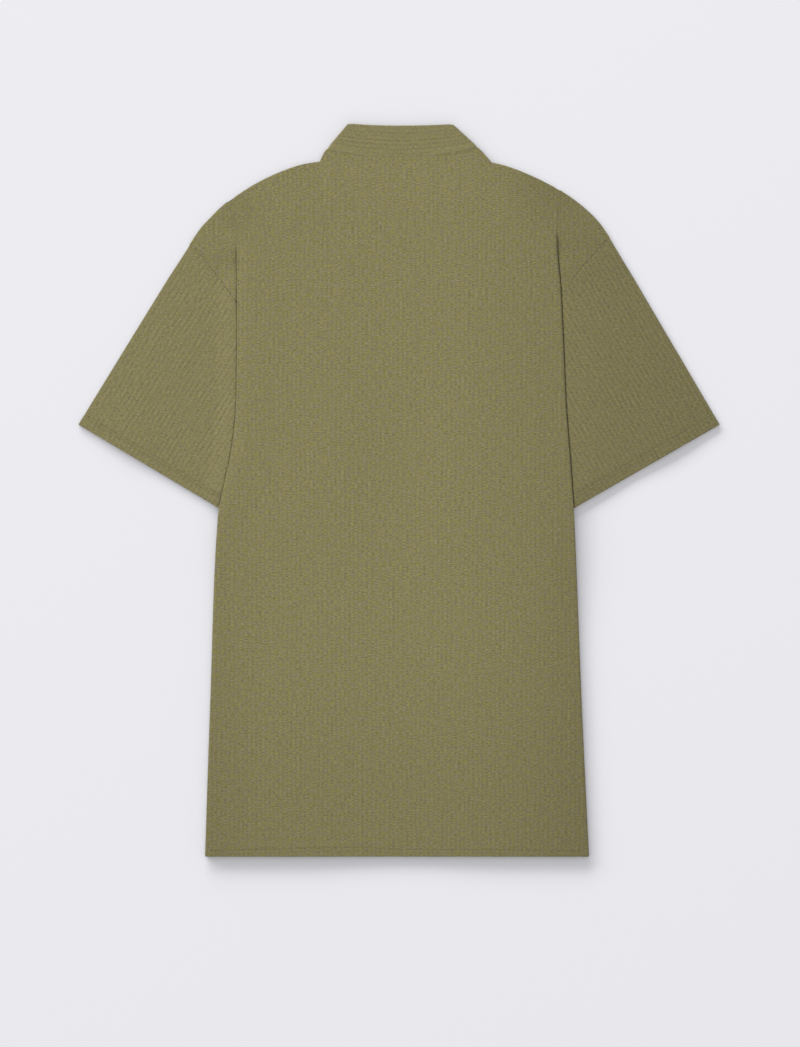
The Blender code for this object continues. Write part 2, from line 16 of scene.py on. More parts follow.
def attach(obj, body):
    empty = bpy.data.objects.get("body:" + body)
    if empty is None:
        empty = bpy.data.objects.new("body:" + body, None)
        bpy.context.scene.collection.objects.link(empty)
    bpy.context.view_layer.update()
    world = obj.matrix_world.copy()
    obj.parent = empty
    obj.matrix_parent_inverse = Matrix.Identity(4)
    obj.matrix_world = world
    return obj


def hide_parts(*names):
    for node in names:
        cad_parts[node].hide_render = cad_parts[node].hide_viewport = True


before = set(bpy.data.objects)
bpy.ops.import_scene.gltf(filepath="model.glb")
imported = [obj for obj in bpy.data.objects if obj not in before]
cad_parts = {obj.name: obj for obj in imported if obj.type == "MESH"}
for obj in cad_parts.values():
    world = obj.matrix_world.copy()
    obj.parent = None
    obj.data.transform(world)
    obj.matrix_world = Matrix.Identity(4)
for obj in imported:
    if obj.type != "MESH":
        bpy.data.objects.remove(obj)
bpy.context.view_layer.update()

MM = 0.001
PIXEL = 1.04  # millimetres across one pixel of the photograph

# Cloth and its layers, by the height of the middle of the cloth. A pair is two panels that run
# together, each of them PAIR away from the middle of the two.
CLOTH = 1.0
HALF_CLOTH = CLOTH / 2
LAYER = 1.4
PAIR = LAYER / 2
FLOOR_LAYER = HALF_CLOTH
LOW_PAIR = FLOOR_LAYER + PAIR
CHEST_BACK_Z = 6.3
SKIRT_BACK_Z = 3.6
PLACKET_Z = 3.3
NECK_BACK_Z = 4.0
NECK_FRONT_Z = 2.6
CHEST_RISES = (20.0, 130.0)  # the back rises from this y, over this width
FRONT_RISES = (45.0, 80.0)  # and the front
SHOULDER_EDGE = 62.0  # the cloth comes down to its edge over this width
NECK_EDGE = 60.0

# The folds at the sides
TURN = LAYER  # radius of the middle of the pair
TURN_REACH = TURN + PAIR + HALF_CLOTH
TURN_UP = 0.7 * TURN_REACH  # the turn starts this far above the shoulder's corner
FOLD_RISE = 4 * TURN
FOLD_CLOSES = (30.0, 70.0)  # from and to this far below the shoulder
OPEN_FOLD = 0.5  # steepest slope of the fold's step above that
FOLD_AT_SHOULDER = 0.7  # width of the whole fold where it opens out at the shoulder
LEAST_TUCK = 0.3
INNER_FOLD_PAST = 4.0
TUCK_MARGIN = 14.0
UNDERARM_RAMP_START = 12.0
UNDERARM_RAMP = 105.0
RAMP_SPREAD = 14.0
RAMP_SPREADS_OVER = 25.0

# Beside each fold the cloth stands up against it, below its soft top and away from the edges
RISE_BELOW = 52.0
RISE_FULL = 32.0
RISE_EDGE = 20.0
GATHER_REACH = 7.0  # points stand closer together up to this far from the fold
GATHER_POWER = 1.7

# Places on the shirt
HALF_LENGTH = 380.6
UNDERARM_Y = 61.4
STRIP_BOTTOM = 83.0
BEND_START = 30.0
TOP_LEVEL = 297.4
PLACKET_WIDTH = 32.0
PLACKET_LEVEL = 140.0
SEAM_GAP = 0.3
PLACKET_SLOT = PLACKET_WIDTH / 2 + SEAM_GAP
BACK_NECK_Y = 351.0
FRONT_NECK_Y = 284.4
FRONT_GAP = 3.0

# Steps of a section: parts of the half neck, of the fall to the shoulder, and in each turn
NECK_FRACTIONS = (0.45, 0.68, 0.86, 1.0)
SHOULDER_FALL = (0.12, 0.25, 0.4, 0.6, 0.8, 0.95, 1.0)
FLAT_SUBSTEPS = 4
FLAT_STEPS = FLAT_SUBSTEPS * (1 + len(NECK_FRACTIONS) + len(SHOULDER_FALL))
SIDE_TURN_STEPS = 9
TUCK_STEPS = 8
INNER_TURN_STEPS = 6
STRIP_STEPS = 36
STRIP_SHIFT = 1.5  # the knit's ribs are shifted by this much past the fold

# Turned hems, thicker up to their stitches
HEM_THICKER = 0.1
HEM_STEP = 1.5
STITCH_SINKS = 0.26
STITCH_WIDTH = 0.8
ZIGZAG_BELOW = 3.0

Place = namedtuple("Place", "x y")
# Cloth that stands up beside a fold: where that starts outside it, how quickly it rises, its
# height, and how far out it lies flat again
Puff = namedtuple("Puff", "start rise height reach")
Side = namedtuple(
    "Side",
    "sign name side_line shoulder armhole sleeve_edge cuff_inner neck roll_corner fall_end"
    " hem_seam_x puff",
)


def places(*pairs):
    return [Place(x, y) for x, y in pairs]


SHOULDER_FOLD = 6  # the shoulder's point at the top of the fold
LEFT = Side(
    sign=-1,
    name="left",
    side_line=places(
        (-201.8, -380.6), (-196.6, -226.7), (-188.2, -27.0), (-181.0, 10.4), (-175.8, 34.3),
        (-171.8, 61.4), (-169.2, 95.0), (-168.5, 197.6), (-168.5, 260.0), (-172.6, 280.8),
        (-181.0, 297.4),
    ),
    shoulder=places(
        (-77.2, 351.3), (-82.2, 341.1), (-98.8, 338.5), (-123.8, 330.2), (-149.8, 317.7),
        (-169.5, 305.2), (-181.0, 297.4), (-194.5, 284.4), (-206.0, 272.0), (-217.4, 255.3),
    ),
    armhole=places(
        (-84.2, UNDERARM_Y), (-110.0, 86.0), (-133.0, 124.0), (-152.0, 163.0), (-169.8, 196.6),
        (-193.4, 229.4), (-205.4, 244.4), (-217.4, 255.3),
    ),
    sleeve_edge=places((-217.4, 255.3), (-239.2, 222.0), (-333.3, 68.6)),
    cuff_inner=Place(-169.9, -28.5),
    neck=Place(-66.9, 354.4),
    roll_corner=Place(-53.1, 381.6),
    fall_end=Place(-74.3, 354.6),
    hem_seam_x=-131.8,
    puff=Puff(start=-0.4, rise=0.8, height=3.9, reach=24.0),
)
RIGHT = Side(
    sign=1,
    name="right",
    side_line=places(
        (197.6, -380.6), (190.3, -226.7), (182.0, -27.0), (178.9, 21.8), (175.7, 61.4),
        (173.3, 95.7), (171.1, 148.7), (168.2, 208.0), (164.1, 262.1), (165.7, 276.6),
        (170.6, 309.4),
    ),
    shoulder=places(
        (86.4, 351.4), (96.2, 340.1), (108.0, 337.5), (125.0, 331.7), (145.0, 323.1),
        (161.0, 314.9), (170.6, 309.4), (188.2, 296.9), (205.9, 280.3), (218.4, 263.2),
    ),
    armhole=places(
        (86.3, UNDERARM_Y), (112.0, 89.0), (134.0, 127.0), (152.0, 165.0), (168.5, 200.7),
        (189.5, 231.4), (200.5, 243.4), (218.4, 263.2),
    ),
    sleeve_edge=places((218.4, 263.2), (243.4, 222.0), (333.3, 68.6)),
    cuff_inner=Place(168.5, -26.0),
    neck=Place(73.5, 356.2),
    roll_corner=Place(56.1, 381.0),
    fall_end=Place(81.5, 356.2),
    hem_seam_x=127.6,
    puff=Puff(start=0.0, rise=1.7, height=3.4, reach=85.0),
)
SIDES = (LEFT, RIGHT)


# ------------------------------------------------------------ curves


def clamp(value):
    return min(1.0, max(0.0, value))


def smooth(value):
    value = clamp(value)
    return value * value * (3 - 2 * value)


def mix(first, last, part):
    return first + (last - first) * part


def between(first, last, part):
    return Place(mix(first.x, last.x, part), mix(first.y, last.y, part))


def moved(place, way, length):
    return Place(place.x + length * way.x, place.y + length * way.y)


def unit(first, last):
    """Direction from one place to another."""
    length = math.dist(first, last)
    return Place((last.x - first.x) / length, (last.y - first.y) / length)


def slopes(at, values):
    """Tangents that keep a smooth curve through these values from overshooting."""
    step = [b - a for a, b in zip(at, at[1:])]
    rise = [(b - a) / d for a, b, d in zip(values, values[1:], step)]
    found = [rise[0]]
    for low, high, before, after in zip(rise, rise[1:], step, step[1:]):
        if low * high <= 0:
            found.append(0.0)
            continue
        first, last = 2 * after + before, after + 2 * before
        found.append((first + last) / (first / low + last / high))
    return found + [rise[-1]]


def smooth_curve(at, values):
    """A function that runs smoothly through the values."""
    tangents = slopes(at, values)

    def value_at(place):
        place = min(at[-1], max(at[0], place))
        number = max(0, min(len(at) - 2, sum(place > a for a in at) - 1))
        step = at[number + 1] - at[number]
        t = (place - at[number]) / step
        return (
            (1 + 2 * t) * (1 - t) ** 2 * values[number]
            + t * (1 - t) ** 2 * step * tangents[number]
            + t * t * (3 - 2 * t) * values[number + 1]
            + t * t * (t - 1) * step * tangents[number + 1]
        )

    return value_at


def distances(line):
    """How far along the line each of its places is."""
    found = [0.0]
    for before, after in zip(line, line[1:]):
        found.append(found[-1] + math.dist(before, after))
    return found


def along(line, part):
    at = distances(line)
    left = part * at[-1]
    number = next((n for n in range(len(line) - 1) if left <= at[n + 1]), len(line) - 2)
    step = at[number + 1] - at[number]
    return between(line[number], line[number + 1], min(1.0, (left - at[number]) / step))


CURVES = {}


def x_at(side, name, y):
    """x of the side line or of the armhole at this height."""
    key = (side.sign, name)
    if key not in CURVES:
        line = getattr(side, name)
        CURVES[key] = smooth_curve([p.y for p in line], [p.x for p in line])
    return CURVES[key](y)


def shoulder_y(side, x):
    key = (side.sign, "shoulder")
    if key not in CURVES:
        line = side.shoulder
        CURVES[key] = smooth_curve([abs(p.x) for p in line], [p.y for p in line])
    return CURVES[key](abs(x))


# -------------------------------------------------- sections of the body


def bend(level):
    """A section is straight up to BEND_START, and follows the shoulders at the top."""
    return smooth((level - BEND_START) / (TOP_LEVEL - BEND_START))


def fold_y(side, level):
    return level + bend(level) * (side.shoulder[SHOULDER_FOLD].y - TOP_LEVEL)


def fold_depth(side, y):
    """How far this height is below the top of the fold."""
    return side.shoulder[SHOULDER_FOLD].y - y


def inner_fold_x(side, y):
    top = side.shoulder[SHOULDER_FOLD]
    underarm = side.armhole[0]
    part = (y - underarm.y) / (top.y - underarm.y)
    return mix(underarm.x, top.x + side.sign * INNER_FOLD_PAST, part)


def side_seam_x(side, y):
    underarm = side.armhole[0]
    return mix(side.hem_seam_x, underarm.x, (y + HALF_LENGTH) / (underarm.y + HALF_LENGTH))


def tuck_inner_x(side, y):
    return inner_fold_x(side, y) if y > UNDERARM_Y else side_seam_x(side, y)


def armhole_place(side, y):
    underarm, head = side.armhole[0], side.armhole[-1]
    part = (y - underarm.y) / (side.shoulder[SHOULDER_FOLD].y - underarm.y)
    end_y = mix(underarm.y, head.y, part)
    return Place(x_at(side, "armhole", end_y), end_y)


def sleeve_lift(side, x, y, spread=0.0):
    """Height of the two sleeve layers under the tuck, which comes down beyond them."""
    corner = side.cuff_inner
    outside = []
    for end, turn in ((side.armhole[0], side.sign), (side.sleeve_edge[-1], -side.sign)):
        run = unit(corner, end)
        outside.append(turn * ((x - corner.x) * -run.y + (y - corner.y) * run.x))
    down = smooth((max(outside) - UNDERARM_RAMP_START - spread) / UNDERARM_RAMP)
    return 2 * LAYER * (1 - down)


def body_pair_z(side, x, y):
    inside = smooth((abs(x_at(side, "side_line", y)) - abs(x)) / RAMP_SPREADS_OVER)
    return LOW_PAIR + sleeve_lift(side, x, y, inside * RAMP_SPREAD) + 2 * TURN


def body_z(side, panel, x, y):
    inner_x = side.sign * (abs(tuck_inner_x(side, y)) - TUCK_MARGIN)
    if abs(x) >= abs(inner_x):
        return body_pair_z(side, x, y) + panel * PAIR
    edge_z = body_pair_z(side, inner_x, y) + panel * PAIR
    part = abs(x / inner_x)
    if panel > 0:
        middle_z = mix(SKIRT_BACK_Z, CHEST_BACK_Z, smooth((y - CHEST_RISES[0]) / CHEST_RISES[1]))
        return mix(middle_z, edge_z, smooth(part))
    middle_z = mix(FLOOR_LAYER, PLACKET_Z, smooth((y - FRONT_RISES[0]) / FRONT_RISES[1]))
    return mix(middle_z, edge_z, smooth((part - 0.35) / 0.65))


def neck_y(side, panel, x):
    if panel > 0:
        return mix(BACK_NECK_Y, side.neck.y, (x / side.neck.x) ** 2)
    part = max(0.0, (abs(x) - FRONT_GAP) / (abs(side.neck.x) - FRONT_GAP))
    return mix(FRONT_NECK_Y, side.neck.y, part**2)


def neck_z(side, panel, x):
    if panel > 0:
        return NECK_BACK_Z
    return mix(PLACKET_Z, NECK_FRONT_Z, smooth(abs(x / side.neck.x)))


def collar_side(side):
    """Directions down the side edge of the collar's fall, and out from it."""
    run = unit(side.roll_corner, side.fall_end)
    return run, Place(-side.sign * run.y, side.sign * run.x)


def neck_corner(side):
    """Places from the end of the neck, in under the collar, out to the corner below it."""
    run, out = collar_side(side)
    hidden = moved(moved(side.fall_end, out, -2.0), run, -1.5)
    shown = moved(side.fall_end, run, 0.9)
    return between(side.neck, hidden, 0.5), hidden, shown, side.shoulder[0]


def beside_fold(side, x, y):
    """How far outside the fold a place is, and the part of the cloth's rise at its height."""
    beyond = abs(x) - abs(x_at(side, "side_line", y))
    return beyond, smooth((fold_depth(side, y) - RISE_BELOW) / RISE_FULL)


def puffed(side, x, y):
    """How far the cloth beside the fold stands up at this place."""
    puff = side.puff
    beyond, part = beside_fold(side, x, y)
    if beyond <= puff.start or beyond >= puff.reach:
        return 0.0
    head = side.sleeve_edge[0]
    run = unit(head, side.sleeve_edge[-1])
    inside = side.sign * ((x - head.x) * run.y - (y - head.y) * run.x)
    if abs(x) < abs(head.x):
        inside = min(inside, shoulder_y(side, x) - y)
    height = puff.height * smooth(inside / RISE_EDGE) * part
    return height * smooth((beyond - puff.start) / puff.rise) * (1 - smooth(beyond / puff.reach))


def gathered(side, x, y, weight):
    """x moved nearer to the fold, so that points stand close together where the cloth rises."""
    beyond, part = beside_fold(side, x, y)
    if abs(beyond) >= GATHER_REACH:
        return x
    nearer = GATHER_REACH * (abs(beyond) / GATHER_REACH) ** GATHER_POWER
    return x + side.sign * (math.copysign(nearer, beyond) - beyond) * weight * part


# A place and height of the top edge, how far below it that height counts, and the place's part
# of the half section lower down
Station = namedtuple("Station", "x y z reach part")


def top_stations(side, panel):
    """Stations from the middle to the fold. The neck ends in a straight side and a corner."""
    inner = [0.0, PLACKET_SLOT] + [abs(side.neck.x) * part for part in NECK_FRACTIONS]
    fold = side.shoulder[SHOULDER_FOLD]
    turn = Place(fold.x - side.sign * TURN_REACH, fold.y + TURN_UP)
    outer = side.shoulder[1:SHOULDER_FOLD] + [turn]
    low = LOW_PAIR + panel * PAIR
    neck_end_z = neck_z(side, panel, side.neck.x)
    heights = [neck_z(side, panel, side.sign * x) for x in inner]
    heights += [mix(neck_end_z, low, part) for part in SHOULDER_FALL]
    count = len(heights) - 1
    numbers = list(range(count + 1))
    z_at = smooth_curve(numbers, heights)
    x_at_number = smooth_curve(numbers[: len(inner)], inner)
    lengths = distances(outer)
    outer_x = smooth_curve(lengths, [place.x for place in outer])
    outer_y = smooth_curve(lengths, [place.y for place in outer])
    corner = neck_corner(side)
    stations = []
    for step in range(count * FLAT_SUBSTEPS + 1):
        number = step / FLAT_SUBSTEPS
        whole = math.ceil(number) - 1
        past = whole - len(inner) + 1
        if past < 0:
            x = side.sign * x_at_number(number)
            place = Place(x, neck_y(side, panel, x))
        elif past == 0:
            place = corner[round((number - whole) * FLAT_SUBSTEPS) - 1]
        elif past == 1:
            place = between(*side.shoulder[:2], number - whole)
        else:
            length = mix(lengths[past - 2], lengths[past - 1], number - whole)
            place = Place(outer_x(length), outer_y(length))
        reach = mix(NECK_EDGE, SHOULDER_EDGE, smooth(number - len(inner) + 1))
        part = mix(PLACKET_SLOT / abs(fold.x), 1, max(0, number - 1) / (count - 1))
        stations.append(Station(*place, z_at(number), reach, min(number, 1) * part))
    return stations


STATIONS = {(side.sign, panel): top_stations(side, panel) for side in SIDES for panel in (1, -1)}


def flat_part(side, panel, level, fold_x):
    """Points of one section from the middle of the body to the start of the side turn."""
    weight = bend(level)
    stations = STATIONS[(side.sign, panel)]
    end_x = abs(fold_x) - TURN_REACH
    top_x = abs(stations[-1].x)
    start_y = fold_y(side, level)
    points = []
    for number, top in enumerate(stations):
        part = mix(top.part, abs(top.x) / top_x, weight)
        x = top.x if number <= FLAT_SUBSTEPS else side.sign * part * end_x
        y = level + weight * (top.y - TOP_LEVEL)
        outward = smooth((number - len(stations) + 1 + FLAT_SUBSTEPS) / FLAT_SUBSTEPS)
        below = mix(top.y - y, fold_depth(side, start_y), outward)
        y = mix(y, start_y + weight * TURN_UP, outward)
        z = mix(top.z, body_z(side, panel, x, y), smooth(below / top.reach))
        points.append((x, y, z))
    return points


def turn_path(across, z, first, last, steps):
    """Middle of the pair along an arc, with its normal. Angles are its slope down."""
    way = 1 if last > first else -1
    path = []
    for step in range(1, steps + 1):
        slope = mix(first, last, step / steps)
        out = way * TURN * (math.sin(slope) - math.sin(first))
        down = way * TURN * (math.cos(first) - math.cos(slope))
        path.append((across + out, z - down, math.sin(slope), math.cos(slope)))
    return path


def fold_angle(side, y):
    """How far the side fold has turned: it is only a soft step near the shoulder."""
    depth = fold_depth(side, y)
    start, end = FOLD_CLOSES
    return mix(OPEN_FOLD * smooth(depth / start), math.pi, smooth((depth - start) / (end - start)))


def fold_path(side, level, fold_x):
    """Middle of the pair along one section's fold, with its normal."""
    y = fold_y(side, level)
    start = abs(fold_x) - TURN_REACH
    if level == TOP_LEVEL:
        steps = SIDE_TURN_STEPS + TUCK_STEPS + INNER_TURN_STEPS
        spread = [start + FOLD_AT_SHOULDER * (step + 1) / steps for step in range(steps)]
        return [(across, LOW_PAIR, 0.0, 1.0) for across in spread]
    if level <= UNDERARM_Y:
        path = turn_path(start, body_pair_z(side, fold_x, y), 0.0, math.pi, SIDE_TURN_STEPS)
        tuck = start - abs(side_seam_x(side, y))
        for step in range(1, TUCK_STEPS + 1):
            across = start - tuck * step / TUCK_STEPS
            z = LOW_PAIR + sleeve_lift(side, side.sign * across, y)
            path.append((across, z, 0.0, -1.0))
        return path
    depth = fold_depth(side, y)
    rise = FOLD_RISE * smooth(depth / SHOULDER_EDGE)
    angle = fold_angle(side, y)
    drop = 2 * TURN * (1 - math.cos(angle))
    if depth > FOLD_CLOSES[1]:
        room = LEAST_TUCK + depth - FOLD_CLOSES[1]
    else:
        room = (rise - drop) / max(math.sin(angle), 0.001)
    full = start - TURN_REACH - abs(inner_fold_x(side, y))
    tuck = max(LEAST_TUCK, min(full, room))
    top_z = LOW_PAIR + max(rise, drop + tuck * math.sin(angle))
    path = turn_path(start, top_z, 0.0, angle, SIDE_TURN_STEPS)
    across, z, nx, nz = path[-1]
    for step in range(1, TUCK_STEPS + 1):
        run = tuck * step / TUCK_STEPS
        path.append((across + nz * run, z - nx * run, nx, nz))
    across, z = path[-1][:2]
    return path + turn_path(across, z, angle, 0.0, INNER_TURN_STEPS)


def folded_part(side, panel, level, fold_x):
    """Points of one section from the side turn to the seam."""
    y = fold_y(side, level)
    points = [
        (side.sign * (across + panel * PAIR * nx), y, z + panel * PAIR * nz)
        for across, z, nx, nz in fold_path(side, level, fold_x)
    ]
    if level == TOP_LEVEL:
        points = [(x, shoulder_y(side, x), z) for x, _, z in points]
    if level > UNDERARM_Y:
        return points + strip_part(side, panel, level, points[-1])
    return points + [points[-1]] * (INNER_TURN_STEPS + STRIP_STEPS)


def strip_part(side, panel, level, start):
    """The strip between the inner turn and the armhole seam."""
    points = []
    end = armhole_place(side, fold_y(side, level))
    for step in range(1, STRIP_STEPS + 1):
        part = step / STRIP_STEPS
        x, y = between(Place(start[0], start[1]), end, part)
        if level == TOP_LEVEL:
            y = shoulder_y(side, x)
        else:
            chord = between(side.shoulder[SHOULDER_FOLD], side.shoulder[-1], part)
            y += bend(level) ** 4 * (shoulder_y(side, chord.x) - chord.y)
            x = gathered(side, x, y, smooth(8 * (1 - part)))
        z = mix(start[2], LOW_PAIR + panel * PAIR, smooth(part))
        points.append((x, y, z + puffed(side, x, y) * (panel > 0)))
    return points


def section(panel, level):
    """One section of the back (panel 1) or the front (-1), and its places across the cloth."""
    halves = []
    for side in SIDES:
        fold_x = x_at(side, "side_line", fold_y(side, level))
        flat = flat_part(side, panel, level, fold_x)
        folded = folded_part(side, panel, level, fold_x)
        across = [abs(point[0]) for point in flat]
        for before, after in zip([flat[-1]] + folded, folded[:-STRIP_STEPS]):
            across.append(across[-1] + math.hypot(after[0] - before[0], after[2] - before[2]))
        across += [abs(point[0]) + STRIP_SHIFT for point in folded[-STRIP_STEPS:]]
        halves.append((flat + folded, across))
    (left, left_across), (right, right_across) = halves
    return left[:0:-1] + right, [-a for a in left_across[:0:-1]] + right_across


# Soft ridges in the laid cloth: from one place to another, with half their width and height
Ridge = namedtuple("Ridge", "x0 y0 x1 y1 width height")


def ridge_lift(ridges, x, y):
    """Height of all the ridges at these places."""
    total = np.zeros_like(x)
    for ridge in ridges:
        run = np.array((ridge.x1 - ridge.x0, ridge.y1 - ridge.y0), float)
        length = np.linalg.norm(run)
        run /= length
        ahead = (x - ridge.x0) * run[0] + (y - ridge.y0) * run[1]
        aside = (x - ridge.x0) * -run[1] + (y - ridge.y0) * run[0]
        past = np.maximum(0, np.maximum(-ahead, ahead - length))
        total += ridge.height * np.exp(-((aside / ridge.width) ** 2 + (past / ridge.width) ** 2))
    return total


# ---------------------------------------------------------------- meshes

RIM_ANGLES = (math.pi / 4, math.pi / 2, 3 * math.pi / 4)


def smooth_array(values):
    values = np.clip(values, 0, 1)
    return values * values * (3 - 2 * values)


def bell(values, width):
    return np.exp(-((values / width) ** 2))


def hem_half(above, stitch):
    """Half the cloth's thickness this far above its turned edge, with its row of stitches."""
    half = HALF_CLOTH + HEM_THICKER * np.clip((stitch + 0.5 - above) / HEM_STEP, 0, 1)
    return half - STITCH_SINKS * bell(above - stitch, STITCH_WIDTH)


def normalised(vectors):
    return vectors / np.maximum(np.linalg.norm(vectors, axis=1, keepdims=True), 1e-12)


def grid_quads(rows, columns, closed=False):
    count = columns if closed else columns - 1
    row, column = np.meshgrid(np.arange(rows - 1), np.arange(count), indexing="ij")
    after = (column + 1) % columns
    quads = [row * columns + column, row * columns + after]
    quads += [(row + 1) * columns + after, (row + 1) * columns + column]
    return np.stack(quads, axis=-1).reshape(-1, 4)


def vertex_normals(points, quads):
    corners = points[quads]
    normals = np.cross(corners[:, 2] - corners[:, 0], corners[:, 3] - corners[:, 1])
    total = np.zeros_like(points)
    for corner in range(4):
        np.add.at(total, quads[:, corner], normals)
    return normalised(total)


def thickened(points, quads, half, uv):
    """A closed wall round the surface through these points, with rounded edges."""
    used, index = np.unique(quads, return_inverse=True)
    quads = index.reshape(-1, 4)
    points, uv, half = points[used], uv[used], half[used, None]
    normals = vertex_normals(points, quads)
    sides = np.stack([quads, np.roll(quads, -1, axis=1)], axis=-1).reshape(-1, 2).tolist()
    there = set(map(tuple, sides))
    a, b = np.array([side for side in sides if (side[1], side[0]) not in there]).T
    away = np.zeros_like(points)
    out = np.cross(points[b] - points[a], normals[a])
    np.add.at(away, a, out)
    np.add.at(away, b, out)
    edge = np.unique(np.concatenate([a, b]))
    count = len(points)
    place = np.full(count, -1)
    place[edge] = np.arange(len(edge))
    away = normalised(away[edge])
    rims = [
        points[edge] + half[edge] * (normals[edge] * math.cos(turned) + away * math.sin(turned))
        for turned in RIM_ANGLES
    ]
    levels = [(a, b)]
    for number in range(len(rims)):
        first = 2 * count + number * len(edge)
        levels.append((first + place[a], first + place[b]))
    levels.append((a + count, b + count))
    faces = [quads, quads[:, ::-1] + count]
    for (a0, b0), (a1, b1) in zip(levels, levels[1:]):
        faces.append(np.stack([b0, a0, a1, b1], axis=-1))
    return (
        np.concatenate([points + normals * half, points - normals * half, *rims]),
        np.concatenate(faces),
        np.concatenate([uv, uv] + [uv[edge]] * len(rims)),
    )


def mesh_piece(name, points, faces, material, slot, uv=None):
    mesh = bpy.data.meshes.new(name)
    mesh.from_pydata((np.asarray(points) * MM).tolist(), [], np.asarray(faces, object).tolist())
    if uv is not None:
        layer = mesh.uv_layers.new(name="cloth")
        corners = np.empty(len(mesh.loops), np.int32)
        mesh.loops.foreach_get("vertex_index", corners)
        layer.data.foreach_set("uv", (uv[corners] * MM).astype(np.float32).reshape(-1))
    mesh.shade_smooth()
    mesh.materials.append(material)
    obj = bpy.data.objects.new(name, mesh)
    bpy.context.scene.collection.objects.link(obj)
    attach(obj, "root")
    return obj


def cloth_piece(node, points, quads, half, uv, material, slot):
    """The wall of cloth that stands for one CAD node."""
    wall = thickened(points.reshape(-1, 3), quads, half.reshape(-1), uv.reshape(-1, 2))
    piece = mesh_piece(node + "_cloth", *wall[:2], material, slot, wall[2])
    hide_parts(node)
    return piece


def tube(path, radius, sides=8):
    """Points and faces of a round tube with closed ends along a path."""
    path = np.array(path, float)
    run = normalised(np.gradient(path, axis=0))
    aside = normalised(np.cross(run, (0.0, 0.0, 1.0)))
    up = np.cross(aside, run)
    angles = np.arange(sides) * 2 * math.pi / sides
    rings = [path + radius * (aside * math.cos(a) + up * math.sin(a)) for a in angles]
    points = np.stack(rings, axis=1).reshape(-1, 3)
    faces = [face[::-1] for face in grid_quads(len(path), sides, closed=True).tolist()]
    faces.append(list(range(sides)))
    faces.append(list(range(len(points) - sides, len(points)))[::-1])
    return points, faces


def joined(parts):
    points, faces, first = [], [], 0
    for part_points, part_faces in parts:
        points.append(part_points)
        faces += [[first + corner for corner in face] for face in part_faces]
        first += len(part_points)
    return np.concatenate(points), faces


def surface_of(obj):
    mesh = obj.data
    points = [v.co.copy() for v in mesh.vertices]
    return BVHTree.FromPolygons(points, [tuple(p.vertices) for p in mesh.polygons])


def laid_on(tree, line, above=True):
    """The places in plan put on the outermost surface, seen from above or from below."""
    start, way = (0.1, -1.0) if above else (-0.1, 1.0)
    found = []
    for x, y in line:
        hit = tree.ray_cast(Vector((x * MM, y * MM, start)), Vector((0, 0, way)))
        found.append(None if hit[0] is None else np.array(hit[0]) / MM)
    return found


def measured(line):
    """The length of a line in plan, and a function that gives the place at a distance along it."""
    xs, ys = np.array(line, float).T
    at = distances(line)
    return at[-1], lambda place: (np.interp(place, at, xs), np.interp(place, at, ys))


def laid_thread(points, sunk, radius, sides, above):
    """Thread through points on the cloth, sunk in it, and not under the floor."""
    points = np.array(points)
    points[:, 2] -= np.array(sunk) * (1 if above else -1)
    if not above:
        points[:, 2] = np.maximum(points[:, 2], radius)
    return tube(points, radius, sides)


STITCH_PITCH = 3.2
STITCH_LENGTH = 2.0
STITCH_RADIUS = 0.3
STITCH_SUNK = (0.3, 0.05, 0.0, 0.05, 0.3)
STEEPEST_STITCH = 0.8  # no stitch runs over a larger step of the cloth


def stitches(tree, line, above=True):
    """A row of stitches along a line in plan, half sunk in the cloth below it."""
    length, place_at = measured(line)
    parts = []
    for middle in np.arange(STITCH_PITCH / 2, length - STITCH_PITCH / 2, STITCH_PITCH):
        ends = middle - STITCH_LENGTH / 2, middle + STITCH_LENGTH / 2
        plan = [place_at(place) for place in np.linspace(*ends, len(STITCH_SUNK))]
        laid = laid_on(tree, plan, above)
        if any(point is None for point in laid) or np.ptp(np.array(laid)[:, 2]) > STEEPEST_STITCH:
            continue
        parts.append(laid_thread(laid, STITCH_SUNK, STITCH_RADIUS, 6, above))
    return joined(parts)


ZIGZAG_PITCH = 2.7
ZIGZAG_WIDTH = 1.5
ZIGZAG_RADIUS = 0.24
STEEPEST_ZIGZAG = 0.7


def zigzag(tree, line, above=True):
    """A zigzag of thread lying on the cloth along a line in plan."""
    length, place_at = measured(line)
    corners, way = [], 1
    for place in np.arange(ZIGZAG_PITCH, length - ZIGZAG_PITCH, ZIGZAG_PITCH / 2):
        x, y = place_at(place)
        ahead_x, ahead_y = place_at(place + 1)
        out = way * ZIGZAG_WIDTH / 2 / math.hypot(ahead_x - x, ahead_y - y)
        corners.append((x - out * (ahead_y - y), y + out * (ahead_x - x)))
        way = -way
    laid = [point for point in laid_on(tree, corners, above) if point is not None]
    runs = [[laid[0]]]
    for before, after in zip(laid, laid[1:]):
        apart = math.dist(before[:2], after[:2]) > 2 * ZIGZAG_PITCH
        if apart or abs(after[2] - before[2]) > STEEPEST_ZIGZAG:
            runs.append([])
        runs[-1].append(after)
    sunk = -0.3 * ZIGZAG_RADIUS
    return joined(laid_thread(run, sunk, ZIGZAG_RADIUS, 5, above) for run in runs if len(run) > 2)


# ------------------------------------------------------------- materials

# Painted shade: slow changes of tone over the shirt, in metres, darker where less light falls,
# towards the right, the bottom and the left edge. It is deeper towards these edges: the axis,
# where that starts and ends, and its depth
PAINTED_SHADE_EDGES = (
    ("x", 0.02, 0.34, 0.24),
    ("y", -0.10, -0.40, 0.11),
    ("x", -0.15, -0.24, 0.03),
)
# The same painted shade, only below the sleeves, and the heights from which and to which that fades
PAINTED_SKIRT_SHADE = (
    ("x", -0.12, -0.21, 0.07),
    ("x", 0.12, 0.21, 0.05),
)
SKIRT_FADES = (-0.10, 0.05)
